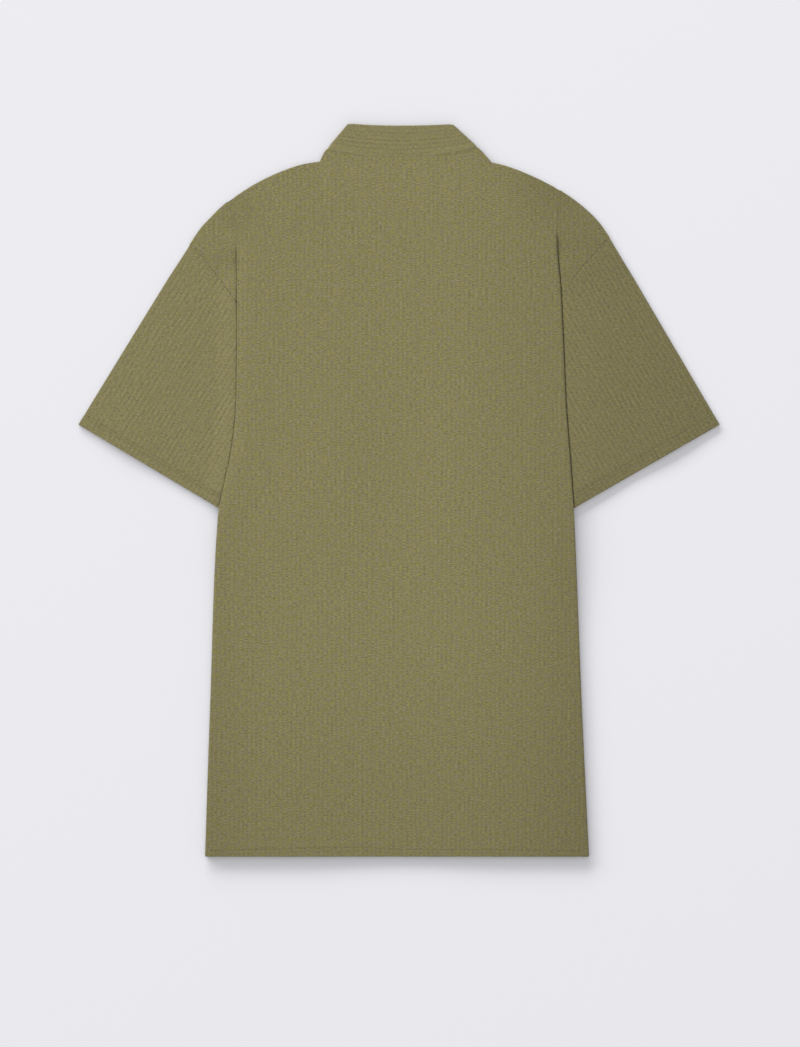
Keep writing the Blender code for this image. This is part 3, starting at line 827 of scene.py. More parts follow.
# Deeper patches of painted shade beside the folds, where the cloth dips: x, y, radius and depth
PAINTED_SHADE_PATCHES = (
    (-0.160, 0.282, 0.045, 0.12),
    (-0.184, 0.240, 0.024, 0.09),
    (-0.101, 0.302, 0.060, 0.05),
    (0.155, 0.310, 0.060, 0.10),
    (0.205, 0.235, 0.060, 0.06),
)
WHITE = (1.0, 1.0, 1.0, 1.0)


class Graph:
    """Builds the nodes of one material."""

    def __init__(self, name, **values):
        self.material = bpy.data.materials.new(name)
        self.material.use_nodes = True
        self.tree = self.material.node_tree
        self.shader = self.tree.nodes["Principled BSDF"]
        for socket, value in values.items():
            self.shader.inputs[socket.replace("_", " ")].default_value = value

    def put(self, value, socket):
        if isinstance(value, bpy.types.NodeSocket):
            self.tree.links.new(value, socket)
        else:
            socket.default_value = value

    def node(self, kind, settings=None, **inputs):
        made = self.tree.nodes.new(kind)
        for name, value in (settings or {}).items():
            setattr(made, name, value)
        for name, value in inputs.items():
            self.put(value, made.inputs[name.replace("_", " ")])
        return made

    def calc(self, operation, *values):
        made = self.node("ShaderNodeMath", {"operation": operation})
        for socket, value in zip(made.inputs, values):
            self.put(value, socket)
        return made.outputs[0]

    def clamped(self, value, low=0.0, high=1.0):
        return self.calc("MINIMUM", self.calc("MAXIMUM", value, low), high)

    def wave(self, place, pitch):
        """A cosine of this pitch, from -1 to 1."""
        return self.calc("COSINE", self.calc("MULTIPLY", place, 2 * math.pi / pitch))

    def noise(self, vector, scale, detail=2.0, roughness=0.5):
        inputs = {"Vector": vector, "Scale": scale, "Detail": detail, "Roughness": roughness}
        return self.node("ShaderNodeTexNoise", **inputs).outputs["Fac"]

    def stretched(self, vector, factors):
        return self.node("ShaderNodeMapping", Vector=vector, Scale=factors).outputs[0]

    def flecks(self, vector, across, along, detail=1.0, roughness=0.5):
        """Noise from -0.5 to 0.5, with this many flecks in a unit across and along."""
        noise = self.noise(self.stretched(vector, (across, along, 1.0)), 1.0, detail, roughness)
        return self.calc("SUBTRACT", noise, 0.5)

    def blended(self, factor, first, last, blend="MIX"):
        made = self.node("ShaderNodeMix", {"data_type": "RGBA", "blend_type": blend})
        for number, value in ((0, factor), (6, first), (7, last)):
            self.put(value, made.inputs[number])
        return made.outputs[2]

    def multiplied(self, first, last):
        return self.blended(1.0, first, last, "MULTIPLY")

    def ramp(self, place, start, end, depth):
        """1 before start, falling to 1 - depth at end."""
        made = self.node("ShaderNodeMapRange", {"interpolation_type": "SMOOTHSTEP"})
        for socket, value in zip(made.inputs, (place, start, end, 1.0, 1.0 - depth)):
            self.put(value, socket)
        return made.outputs[0]

    def object_place(self):
        return self.node("ShaderNodeTexCoord").outputs["Object"]

    def colour(self, value):
        self.put(value, self.shader.inputs["Base Color"])

    def painted_shade_tone(self):
        """Painted shade over the shirt: the slow change of tone, as a grey to multiply by."""
        where = self.object_place()
        split = self.node("ShaderNodeSeparateXYZ", Vector=where).outputs
        axes = {"x": split[0], "y": split[1]}
        tone = 1.0
        for axis, start, end, depth in PAINTED_SHADE_EDGES:
            tone = self.calc("MULTIPLY", self.ramp(axes[axis], start, end, depth), tone)
        skirt = self.ramp(axes["y"], *SKIRT_FADES, 1.0)
        for axis, start, end, depth in PAINTED_SKIRT_SHADE:
            edge = self.calc("SUBTRACT", self.ramp(axes[axis], start, end, depth), 1.0)
            tone = self.calc("MULTIPLY", self.calc("MULTIPLY_ADD", edge, skirt, 1.0), tone)
        plan = self.stretched(where, (1.0, 1.0, 0.0))
        for x, y, radius, depth in PAINTED_SHADE_PATCHES:
            made = self.node("ShaderNodeVectorMath", {"operation": "DISTANCE"})
            self.put(plan, made.inputs[0])
            self.put((x, y, 0.0), made.inputs[1])
            away = made.outputs["Value"]
            tone = self.calc("MULTIPLY", self.ramp(away, radius, 0.0, depth), tone)
        made = self.node("ShaderNodeCombineColor", Red=tone, Green=tone, Blue=tone)
        return made.outputs[0]


def shade(colour, factor):
    return tuple(value * factor for value in colour[:3]) + (1.0,)


OLIVE = (0.229, 0.203, 0.0925)


def knit_height(graph, cloth, rib, course, ribbed, level, lines):
    """Height of the knit: soft ribs along the cloth, or level across it, broken by short courses.

    lines are rows across the cloth: place along it, width, strength and pitch of its dots.
    """
    calc = graph.calc
    x, y, _ = graph.node("ShaderNodeSeparateXYZ", Vector=cloth).outputs
    first, second = (y, x) if level else (x, y)
    drift = calc("MULTIPLY", graph.noise(cloth, 0.03), 5.0)
    jitter = calc("MULTIPLY", graph.noise(cloth, 0.4), 1.5)
    across = calc("ADD", calc("ADD", first, drift), jitter)
    upward = calc("MULTIPLY_ADD", jitter, 1.2, second)
    ribs = graph.wave(across, rib)
    # Each half rib has its courses at a height of its own
    number = calc("FLOOR", calc("DIVIDE", across, rib / 2))
    offset = calc("MULTIPLY", calc("SINE", calc("MULTIPLY", number, 12.9898)), 4.0)
    courses = graph.wave(calc("ADD", upward, offset), course)
    beads = calc("MULTIPLY", calc("MAXIMUM", ribs, -0.2), courses)
    strong = calc("MULTIPLY_ADD", graph.flecks(cloth, 0.07, 0.05, 3.0, 0.6), 3.2, 0.6)
    strong = graph.clamped(strong, 0.1, 1.2)
    height = calc("MULTIPLY", calc("MULTIPLY", ribs, 0.6 * ribbed), strong)
    height = calc("MULTIPLY_ADD", beads, 0.75, height)
    dashes = graph.flecks(cloth, *((0.95, 0.28) if level else (0.28, 0.95)))
    grain = graph.flecks(cloth, 1.1, 1.1)
    mottle = graph.flecks(cloth, 0.07, 0.2, 2.0, 0.6)
    for flecks, strength in ((dashes, 6.0), (grain, 4.6), (mottle, 1.2)):
        height = calc("MULTIPLY_ADD", flecks, strength, height)
    for place, width, strength, dots in lines:
        away = calc("DIVIDE", calc("SUBTRACT", y, place), width)
        row = calc("EXPONENT", calc("MULTIPLY", calc("MULTIPLY", away, away), -1.0))
        if dots:
            row = calc("MULTIPLY", row, calc("MAXIMUM", graph.wave(x, dots), -0.1))
        height = calc("MULTIPLY_ADD", row, strength, height)
    return height


def knit(name, rib=4.6, course=3.2, ribbed=0.7, contrast=1.0, tinted=1.0, level=False, lines=()):
    """Textured knit, with painted shade in its hollows, with slightly warmer and cooler flecks."""
    graph = Graph(
        name, Roughness=0.92, Specular_IOR_Level=0.12, Sheen_Weight=0.12, Sheen_Roughness=0.6
    )
    uv = graph.node("ShaderNodeUVMap", {"uv_map": "cloth"}).outputs[0]
    cloth = graph.stretched(uv, (1 / MM, 1 / MM, 1.0))
    height = knit_height(graph, cloth, rib, course, ribbed, level, lines)
    # Colour from the knit's height: partly its own flecks, partly painted shade in the hollows and
    # painted light on the raised knit
    tone = graph.clamped(graph.calc("MULTIPLY_ADD", height, 0.28 * contrast, 0.5))
    plain = graph.blended(tone, shade(OLIVE, 0.68), shade(OLIVE, 1.32))
    specks = graph.calc("MULTIPLY_ADD", graph.flecks(cloth, 0.24, 0.2, 2.0, 0.6), 4.0, 0.5)
    warm = (1.01, 1.02, 0.80, 1.0)
    cool = (0.99, 0.98, 1.17, 1.0)
    tint = graph.blended(tinted, WHITE, graph.blended(graph.clamped(specks), warm, cool))
    # The knit's colour is multiplied by the painted shade over the shirt
    graph.colour(graph.multiplied(graph.multiplied(plain, tint), graph.painted_shade_tone()))
    bump = graph.node("ShaderNodeBump", Strength=0.4, Distance=0.25 * MM, Height=height)
    graph.put(bump.outputs[0], graph.shader.inputs["Normal"])
    return graph.material


def thread(name, factor):
    """Thread in a shade of the cloth's colour. The dark threads are partly painted shade: of the
    stitch holes, and of the grooves along the seams.
    """
    graph = Graph(name, Roughness=0.7)
    twist = graph.noise(graph.stretched(graph.object_place(), (900, 900, 900)), 1.0)
    graph.colour(graph.blended(twist, shade(OLIVE, 0.75 * factor), shade(OLIVE, 1.25 * factor)))
    return graph.material


# Rows across the collar, down from its roll: place, half width, strength and pitch of dots. They
# change the knit's colour as well as its relief; the light rows near the fall's edge, at 30.0 and
# 31.4, are partly a painted highlight above the edge's shadow.
COLLAR_LINES = (
    (8.2, 0.6, -1.4, 2.6),
    (15.6, 0.6, -3.0, 2.4),
    (18.0, 1.2, 0.3, 0.0),
    (19.8, 0.6, -0.5, 0.0),
    (24.4, 0.6, -1.8, 2.6),
    (30.0, 2.2, 0.9, 0.0),
    (31.4, 0.7, 1.8, 2.6),
)
KNIT_BODY = knit("knit_body")
KNIT_SLEEVE = knit("knit_sleeve", rib=4.9, course=3.3, ribbed=1.1, tinted=0.5)
KNIT_COLLAR = knit(
    "knit_collar",
    rib=4.4,
    course=2.4,
    ribbed=0.8,
    contrast=0.85,
    tinted=0.5,
    level=True,
    lines=COLLAR_LINES,
)
# The darker stitch thread is partly painted shade of the stitch holes; the buttons are tied with it
# too
THREAD = thread("thread_olive_and_hole_shade", 0.5)
LIGHT_THREAD = thread("thread_light", 1.12)
# Near-black seam thread: partly the seams' thread, partly painted shade of the grooves along them
SEAM_THREAD_AND_PAINTED_SHADE = thread("thread_seam_and_painted_shade", 0.2)


# ------------------------------------------------------------------ body

BODY_RIDGES = [
    Ridge(-150, 40, -90, -10, 18, 0.2),
    Ridge(155, 40, 90, -20, 18, 0.25),
    Ridge(-60, 250, -70, -120, 34, 0.35),
    Ridge(72, 210, 62, -180, 38, 0.35),
    Ridge(-10, 60, -4, -330, 42, 0.3),
    Ridge(-120, -120, -132, -350, 26, 0.35),
    Ridge(118, -150, 130, -350, 28, 0.35),
    Ridge(-60, 335, -30, 320, 9, 0.25),
    Ridge(66, 336, 34, 320, 9, 0.25),
]
# The ridges die out over this width at the folds, at the top and at the hem
RIDGES_FADE = 34.0
RIDGES_FADE_TOP = 40.0
RIDGES_FADE_HEM = 30.0
# The plump edge along the left-hand fold: how far in it lies, half its width outside and inside
# that, its height, where it ends, and the widths over which it fades there
ROLL_IN = 7.5
ROLL_OUTSIDE = 4.6
ROLL_INSIDE = 24.0
ROLL_HEIGHT = 1.3
ROLL_BOTTOM = -60.0
ROLL_TOP = 288.0
ROLL_FADE_BOTTOM = 60.0
ROLL_FADE_TOP = 30.0
# Height of the row of stitches above the hem, across the shirt
HEM_STITCH = smooth_curve(
    [-205, -150, -70, -40, 0, 60, 120, 200], [5.2, 6.6, 9.0, 9.2, 6.8, 6.6, 6.4, 4.6]
)

HEM_ROWS = 16  # one millimetre apart, for the turned hem
# Heights up to which the rows above the hem are evenly spaced, and how many there are
PANEL_ROWS = (
    (UNDERARM_Y, 111),
    (STRIP_BOTTOM, 6),
    (PLACKET_LEVEL, 14),
    (TOP_LEVEL - 12, 37),
    (TOP_LEVEL, 7),
)


def levels():
    """Heights of the sections: close together at the hem, where it is stitched."""
    hem_top = -HALF_LENGTH + HEM_ROWS
    found = list(np.arange(-HALF_LENGTH, hem_top, 1.0)) + [hem_top]
    for top, count in PANEL_ROWS:
        found += list(np.linspace(found[-1], top, count + 1))[1:]
    return found


def panel_lift(x, y, heights, flat):
    """Height of the ridges and of the plump edge at the left-hand fold, on the flat part."""
    middle = x.shape[1] // 2
    edge = np.where(x < 0, np.abs(x[:, [middle - flat]]), np.abs(x[:, [middle + flat]]))
    fade = smooth_array((edge - np.abs(x)) / RIDGES_FADE)
    top = np.clip((TOP_LEVEL - heights) / RIDGES_FADE_TOP, 0, 1)[:, None]
    hem = np.clip((heights + HALF_LENGTH) / RIDGES_FADE_HEM, 0, 1)[:, None]
    lift = ridge_lift(BODY_RIDGES, x, y) * fade * top * hem
    from_roll = edge - np.abs(x) - ROLL_IN
    roll = ROLL_HEIGHT * bell(from_roll, np.where(from_roll < 0, ROLL_OUTSIDE, ROLL_INSIDE))
    roll *= smooth_array((y - ROLL_BOTTOM) / ROLL_FADE_BOTTOM)
    roll *= smooth_array((ROLL_TOP - y) / ROLL_FADE_TOP)
    inside = np.abs(np.arange(x.shape[1]) - middle) <= flat
    return (lift + roll * (x < 0)) * inside


def make_panel(node, panel):
    heights = np.array(levels())
    sections = [section(panel, level) for level in heights]
    points = np.array([points for points, _ in sections])
    across = np.array([across for _, across in sections])
    rows, columns = points.shape[:2]
    middle = columns // 2
    flat = FLAT_STEPS
    uv = np.stack([across, points[..., 1]], axis=-1)
    x, y = points[..., 0], points[..., 1]
    points[..., 2] += panel_lift(x, y, heights, flat)
    half = hem_half(y + HALF_LENGTH, np.vectorize(HEM_STITCH)(x))
    points[..., 2] = np.maximum(points[..., 2], np.maximum(half, HALF_CLOTH))

    # Below the armhole the section ends at the side seam, and the front has a slot
    quads = grid_quads(rows, columns)
    level, column = heights[quads[:, 0] // columns], quads[:, 0] % columns
    last = flat + SIDE_TURN_STEPS + TUCK_STEPS
    cut = (column >= middle + last) | (column < middle - last)
    kept = ~(cut & (level < STRIP_BOTTOM - 0.01))
    if panel < 0:
        slot = (column >= middle - FLAT_SUBSTEPS) & (column < middle + FLAT_SUBSTEPS)
        kept &= ~(slot & (level > PLACKET_LEVEL - 0.01))
    return cloth_piece(node, points, quads[kept], half, uv, KNIT_BODY, "body_knit")


back = make_panel("back", 1)
front = make_panel("front", -1)


# --------------------------------------------------------------- sleeves

CUFF_ROWS = 20  # one millimetre apart, for the turned cuff
CUFF_STITCH = 12.0
SLEEVE_ROWS = 92
SLEEVE_ACROSS = 150
SLEEVE_TURN = 6
SLEEVE_REACH = PAIR + HALF_CLOTH
SLEEVE_FULL = 0.6  # the sleeve is fuller over this part of its width, from the outer edge
INNER_INSET = 2.5  # the underarm side is so many times further in than the outer one
UNDER_SHIFT = 3.1  # the knit's ribs are shifted by this much on the lower layer
SEAM_PULL = Place(0.83, -0.56)  # the top of the sleeve is pulled on to the seam by this much
SLEEVE_RIDGES = [
    Ridge(-228, 208, -262, 120, 20, 0.7),
    Ridge(-196, 196, -232, 118, 16, 0.55),
    Ridge(-262, 60, -300, 92, 20, 0.6),
    Ridge(-190, 120, -210, 60, 18, 0.5),
    Ridge(224, 214, 258, 130, 20, 0.6),
    Ridge(192, 186, 226, 110, 18, 0.5),
    Ridge(196, 96, 214, 40, 18, 0.5),
]


def sleeve_place(side, across, up):
    """The place this part of the way in from the outer edge, and up from the cuff."""
    head, underarm = side.armhole[-1], side.armhole[0]
    outer = along(side.sleeve_edge[::-1], up)
    inner = between(side.cuff_inner, underarm, up)
    place = between(outer, inner, across)
    chord = between(head, underarm, across)
    seam_x = x_at(side, "armhole", chord.y)
    pull = up**24
    x = place.x + up**3 * (seam_x - chord.x) + side.sign * SEAM_PULL.x * pull
    return Place(x, place.y + SEAM_PULL.y * pull)


def side_turn(start, run, way):
    """Points of the turned side of a sleeve, from its upper layer to its lower one."""
    angles = math.pi * np.arange(1, SLEEVE_TURN) / SLEEVE_TURN
    out = PAIR * np.sin(angles) * way
    return np.stack(
        [start[0] + out * run.x, start[1] + out * run.y, LOW_PAIR + PAIR * np.cos(angles)], axis=-1
    )


def sleeve_ring(side, row, parts, lengths):
    """One ring of a sleeve: its upper layer inwards, a turn, the lower one, and a turn."""
    rest = max(0, row - CUFF_ROWS) / SLEEVE_ROWS
    ups = [mix(min(row, CUFF_ROWS) / length, 1, rest) for length in lengths]
    ends = sleeve_place(side, 0, ups[0]), sleeve_place(side, 1, ups[-1])
    inset = SLEEVE_REACH / math.dist(*ends)
    line = []
    for part, up in zip(parts, ups):
        x, y = sleeve_place(side, mix(inset, 1 - INNER_INSET * inset, part), up)
        full = math.sin(math.pi * clamp(part / SLEEVE_FULL)) ** 2 * (1 - up) ** 1.5
        x = gathered(side, x, y, smooth(row / 8) * smooth(12 * (1 - up)))
        line.append((x, y, full))
    top, under = np.array(line), np.array(line)
    fade = np.minimum(1, np.minimum(parts, 0.62 - parts).clip(0) * 9)
    fade *= min(1, row / 12) * min(1, (CUFF_ROWS + SLEEVE_ROWS - row) / 16)
    puff = np.array([puffed(side, x, y) for x, y, _ in line]) * min(1, (row + 4) / 18)
    top[:, 2] += LOW_PAIR + PAIR + ridge_lift(SLEEVE_RIDGES, top[:, 0], top[:, 1]) * fade + puff
    under[:, 2] = FLOOR_LAYER + HEM_THICKER * clamp((CUFF_STITCH + 0.5 - row) / HEM_STEP)
    run = unit(*ends)
    inner, outer = side_turn(top[-1], run, 1), side_turn(top[0], run, -1)
    return np.concatenate([top, inner, under[::-1], outer[::-1]])


def make_sleeve(side):
    parts = np.linspace(0, 1, SLEEVE_ACROSS + 1)
    lengths = []
    for part in parts:
        line = [sleeve_place(side, part, up) for up in np.linspace(0, 1, 9)]
        lengths.append(distances(line)[-1])
    rows = range(CUFF_ROWS + SLEEVE_ROWS + 1)
    points = np.array([sleeve_ring(side, row, parts, lengths) for row in rows])
    # The cloth's own directions: across the outer edge, and along it
    edge = side.sleeve_edge
    way = unit(edge[1], edge[-1])
    x, y = points[..., 0] - edge[1].x, points[..., 1] - edge[1].y
    uv = np.stack([x * way.y - y * way.x, x * way.x + y * way.y], axis=-1)
    uv[:, SLEEVE_ACROSS + 1 :, 0] += UNDER_SHIFT
    half = np.repeat(hem_half(np.array(rows), CUFF_STITCH)[:, None], points.shape[1], axis=1)
    if side.sign < 0:
        points, uv, half = points[::-1], uv[::-1], half[::-1]
    quads = grid_quads(*points.shape[:2], closed=True)
    node = f"sleeve_{side.name}"
    return cloth_piece(node, points, quads, half, uv, KNIT_SLEEVE, "sleeve_knit")


sleeves = [make_sleeve(side) for side in SIDES]


# ---------------------------------------------------------------- collar

CollarStation = namedtuple("CollarStation", "base roll edge stand_z fall_z out turned around")
COLLAR_POINT = Place(62.0, 268.0)
ROLL_DIP = 2.0
FALL_EDGE_Y = 347.4
FRONT_ROLL_Y = 306.0
COLLAR_STEPS = 30
COLLAR_TURN = 8
CORNER_DIP = 0.6
CORNER_TURN = 0.3  # the collar turns this much tighter at its roll
EDGE_PRESSED = 0.85
EDGE_THINNER = 0.36
EDGE_THINS_OVER = 3.5
STAND_STEPS = 10
ROLL_STEPS = 8
FALL_STEPS = 36
COLLAR_RIB = 4.75
COLLAR_GROOVE = 19.6  # down from the roll
# The knit's length round the collar's turn, for each radian, and along the front of its fall
TURN_LENGTH = 2.4
FRONT_START = 7.5
FRONT_LENGTH = 95.0


def collar_stations(side):
    """Stations from the middle of the back, round the side of the neck, to the front end."""
    run, out = collar_side(side)
    fall_z = NECK_BACK_Z + LAYER
    inset = (fall_z - FLOOR_LAYER) / 2 + HALF_CLOTH
    reach = (LAYER + CLOTH) / 2
    tight = CORNER_TURN * (inset - HALF_CLOTH) + HALF_CLOTH
    corner = moved(moved(side.roll_corner, out, -tight), run, reach)
    end = moved(side.fall_end, out, EDGE_PRESSED - inset)
    half = abs(side.neck.x)
    middle_y = (LEFT.roll_corner.y + RIGHT.roll_corner.y) / 2 - ROLL_DIP
    middle_y += reach * run.y - tight * out.y
    stations = []
    for step in range(COLLAR_STEPS + 1):
        part = step / COLLAR_STEPS
        x = half * part - SEAM_GAP * smooth((part - 0.9) / 0.1)
        base = Place(side.sign * x, neck_y(side, 1, x) + SEAM_GAP)
        dip = CORNER_DIP * smooth((part - 0.93) / 0.07)
        roll = Place(part * corner.x, mix(middle_y, corner.y, part**2) - dip)
        edge = Place(part * end.x, mix(FALL_EDGE_Y, end.y, part**4))
        around = half * part
        stations.append(CollarStation(base, roll, edge, NECK_BACK_Z, fall_z, out, 0.0, around))
    last = stations[-1]
    corner = last.roll
    for step in range(1, COLLAR_TURN):
        turned = math.pi * step / COLLAR_TURN
        stations.append(last._replace(turned=turned, around=half + TURN_LENGTH * turned))
    point = Place(side.sign * COLLAR_POINT.x, COLLAR_POINT.y)
    for step in range(COLLAR_STEPS + 1):
        swing = step / COLLAR_STEPS
        part = math.cos(math.pi / 2 * swing)
        x = mix(FRONT_GAP, half, part)
        base = Place(side.sign * (x - SEAM_GAP * smooth(2 * part)), neck_y(side, -1, x) + SEAM_GAP)
        roll_x = mix(side.sign * FRONT_GAP, corner.x, part)
        roll = Place(roll_x, mix(corner.y, FRONT_ROLL_Y, 1 - part**2))
        edge = between(end, point, swing)
        around = half + FRONT_START + FRONT_LENGTH * swing
        stand_z = neck_z(side, -1, x)
        stations.append(CollarStation(base, roll, edge, stand_z, FLOOR_LAYER, out, math.pi, around))
    return stations


def collar_section(station):
    """Points from the neck seam up the stand, over the roll and down the fall."""

    def placed(place, low, high, down=0.0):
        if station.turned in (0.0, math.pi):
            return (*place, high if station.turned == 0 else low)
        radius = (high - low) / 2
        out = radius * math.sin(station.turned) * mix(CORNER_TURN, 1, down)
        z = (high + low) / 2 + radius * math.cos(station.turned)
        return (*moved(place, station.out, out), z)

    low_stand = station.stand_z if station.turned == math.pi else NECK_FRONT_Z
    points = [
        placed(between(station.base, station.roll, step / STAND_STEPS), low_stand, NECK_BACK_Z)
        for step in range(STAND_STEPS + 1)
    ]
    run = unit(station.edge, station.roll)
    first, last = points[-1], placed(station.roll, FLOOR_LAYER, NECK_BACK_Z + LAYER)
    half = [(b - a) / 2 for a, b in zip(first, last)]
    size = math.hypot(*half)
    for step in range(1, ROLL_STEPS):
        turned = math.pi * step / ROLL_STEPS
        lift = size * math.sin(turned)
        middle = [a + h - h * math.cos(turned) for a, h in zip(first, half)]
        points.append((middle[0] + lift * run.x, middle[1] + lift * run.y, middle[2]))
    for step in range(FALL_STEPS + 1):
        part = step / FALL_STEPS
        pressed = EDGE_PRESSED * smooth((part - 0.8) / 0.2)
        place = between(station.roll, station.edge, part)
        points.append(placed(place, FLOOR_LAYER, NECK_BACK_Z + LAYER - pressed, part))
    return points


def make_collar():
    left, right = collar_stations(LEFT)[:0:-1], collar_stations(RIGHT)
    points = np.array([collar_section(station) for station in left + right])
    around = [-station.around for station in left] + [station.around for station in right]
    steps = np.linalg.norm(np.diff(points, axis=1), axis=2)
    down = np.concatenate([np.zeros((len(points), 1)), np.cumsum(steps, axis=1)], axis=1)
    down -= down[:, [STAND_STEPS + ROLL_STEPS // 2]]
    uv = np.stack([np.repeat(np.array(around)[:, None], down.shape[1], axis=1), down], axis=-1)
    # Ribs along the fall, which end before its edge, and a groove across the shirt
    to_edge = down[:, [-1]] - down
    fall = np.clip(down / 3, 0, 1) * np.clip(to_edge / 2.5, 0, 1)
    half = HALF_CLOTH + 0.05 * np.cos(2 * math.pi * down / COLLAR_RIB) * fall
    half -= 0.03 * bell(down - COLLAR_GROOVE, 0.6)
    half -= EDGE_THINNER * smooth_array(1 - to_edge / EDGE_THINS_OVER)
    quads = grid_quads(*points.shape[:2])
    return cloth_piece("collar", points, quads, half, uv, KNIT_COLLAR, "collar_rib")


collar = make_collar()


# --------------------------------------------------------------- placket

PLACKET_STITCH = 2.6  # the stitches are this far in from the placket's sides
UNDER_NARROWER = 1.5  # the inner strip is narrower at each side
# The stitched box, up from the placket's lower end, and the stitches' end below the neck
BOX_BOTTOM = 3.0
BOX_TOP = 14.0
STITCHES_BELOW_NECK = 2.4


def placket_bottom_y():
    neck = mix(neck_y(LEFT, -1, PLACKET_SLOT), neck_y(RIGHT, -1, PLACKET_SLOT), 0.5)
    return PLACKET_LEVEL + bend(PLACKET_LEVEL) * (neck - TOP_LEVEL)


def make_placket(node, z, narrower):
    side = PLACKET_WIDTH / 2 - narrower
    ys = placket_bottom_y() + SEAM_GAP + narrower, FRONT_NECK_Y - SEAM_GAP
    x, y = np.meshgrid(np.linspace(-side, side, 17), np.linspace(*ys, 60))
    points = np.stack([x, y, np.full(x.shape, z)], axis=-1)
    half = HALF_CLOTH - 0.12 * bell(side - np.abs(x) - PLACKET_STITCH, 1.2)
    uv = np.stack([y, x], axis=-1)
    quads = grid_quads(*x.shape)
    piece = cloth_piece(node, points, quads, half, uv, KNIT_BODY, "placket_knit")
    return piece


placket_over = make_placket("placket_over", PLACKET_Z, 0.0)
make_placket("placket_under", PLACKET_Z + LAYER, UNDER_NARROWER)


# ------------------------------------------------------ seams and stitching

# Radius of each dark line of thread. Its near-black colour is partly painted shade of the groove
# along the seam.
ARMHOLE_THREAD = 0.45
SHOULDER_THREAD = 0.5
SIDE_THREAD = 0.62
ARMHOLE_OUT = Place(0.19, -0.1)
ARMHOLE_SUNK = 0.15


def armhole_line(side, layer):
    """Just outside the armhole, sunk a little towards the other layer."""
    path = []
    for y in np.linspace(UNDERARM_Y + 4, side.armhole[-1].y - 1.2, 120):
        x = x_at(side, "armhole", y)
        lift = puffed(side, x, y) if layer > 0 else 0.0
        z = LOW_PAIR + layer * (PAIR - ARMHOLE_SUNK) + lift
        path.append((x + side.sign * ARMHOLE_OUT.x, y + ARMHOLE_OUT.y, z))
    return path


def shoulder_line(side):
    ends = STATIONS[(side.sign, 1)][-(len(SHOULDER_FALL) - 1) * FLAT_SUBSTEPS :]
    path = [(end.x, end.y - 0.5, end.z - PAIR) for end in ends]
    for x in np.linspace(abs(ends[-1].x) + 1, abs(side.shoulder[-1].x) - 1.5, 40):
        path.append((side.sign * x, shoulder_y(side, x) - 0.5, LOW_PAIR))
    return path


def side_line(side):
    path = []
    for y in np.linspace(-HALF_LENGTH + 1, UNDERARM_Y - 3, 150):
        x = side_seam_x(side, y)
        path.append((x, y, LOW_PAIR + sleeve_lift(side, x, y)))
    return path


def cuff_line(side, inward):
    line = []
    for across in np.linspace(0.01, 0.985, 60):
        start = sleeve_place(side, across, 0.0)
        line.append(moved(start, unit(start, sleeve_place(side, across, 0.05)), inward))
    return line


for side in SIDES:
    lines = joined(tube(armhole_line(side, layer), ARMHOLE_THREAD) for layer in (1, -1))
    mesh_piece(f"armhole_seam_{side.name}", *lines, SEAM_THREAD_AND_PAINTED_SHADE, "sleeve_knit")
    line = tube(shoulder_line(side), SHOULDER_THREAD)
    mesh_piece(f"shoulder_seam_{side.name}", *line, SEAM_THREAD_AND_PAINTED_SHADE, "body_knit")
    line = tube(side_line(side), SIDE_THREAD)
    mesh_piece(f"side_seam_{side.name}", *line, SEAM_THREAD_AND_PAINTED_SHADE, "body_knit")

hem_line = [(x, -HALF_LENGTH + HEM_STITCH(x)) for x in np.linspace(-196, 193, 200)]
zigzag_line = [(x, y - ZIGZAG_BELOW) for x, y in hem_line]
for name, panel, above in (("back", back, True), ("front", front, False)):
    tree = surface_of(panel)
    row = stitches(tree, hem_line, above)
    mesh_piece(f"hem_stitches_{name}", *row, THREAD, "body_knit")
    row = zigzag(tree, zigzag_line, above)
    mesh_piece(f"hem_zigzag_{name}", *row, LIGHT_THREAD, "body_knit")

for side, sleeve in zip(SIDES, sleeves):
    tree = surface_of(sleeve)
    line = cuff_line(side, CUFF_STITCH)
    rows = joined(stitches(tree, line, above) for above in (True, False))
    mesh_piece(f"cuff_stitches_{side.name}", *rows, THREAD, "sleeve_knit")
    line = cuff_line(side, CUFF_STITCH - ZIGZAG_BELOW)
    rows = joined(zigzag(tree, line, above) for above in (True, False))
    mesh_piece(f"cuff_zigzag_{side.name}", *rows, LIGHT_THREAD, "sleeve_knit")

tree = surface_of(placket_over)
inset = PLACKET_WIDTH / 2 - PLACKET_STITCH
low, box = placket_bottom_y() + BOX_BOTTOM, placket_bottom_y() + BOX_TOP
top = FRONT_NECK_Y - STITCHES_BELOW_NECK
rows = [[(-inset, top), (-inset, low), (inset, low), (inset, top)], [(-inset, box), (inset, box)]]
rows = joined(stitches(tree, row, above=False) for row in rows)
mesh_piece("placket_stitches", *rows, THREAD, "placket_knit")


# --------------------------------------------------------------- buttons

BUTTON_SPACING = 50.0
TOP_BUTTON = 14.0  # below the front of the neck
HOLE = 1.06  # the four holes are at this x and y from the button's middle
CROSSING_Z = 1.5
CROSSING_DIP = 0.85


def button_material():
    graph = Graph("button_plastic", Roughness=0.32)
    swirl = graph.noise(graph.stretched(graph.object_place(), (300, 300, 300)), 1.0, 4.0, 0.6)
    graph.colour(graph.blended(swirl, (0.11, 0.095, 0.05, 1.0), (0.24, 0.21, 0.12, 1.0)))
    return graph.material


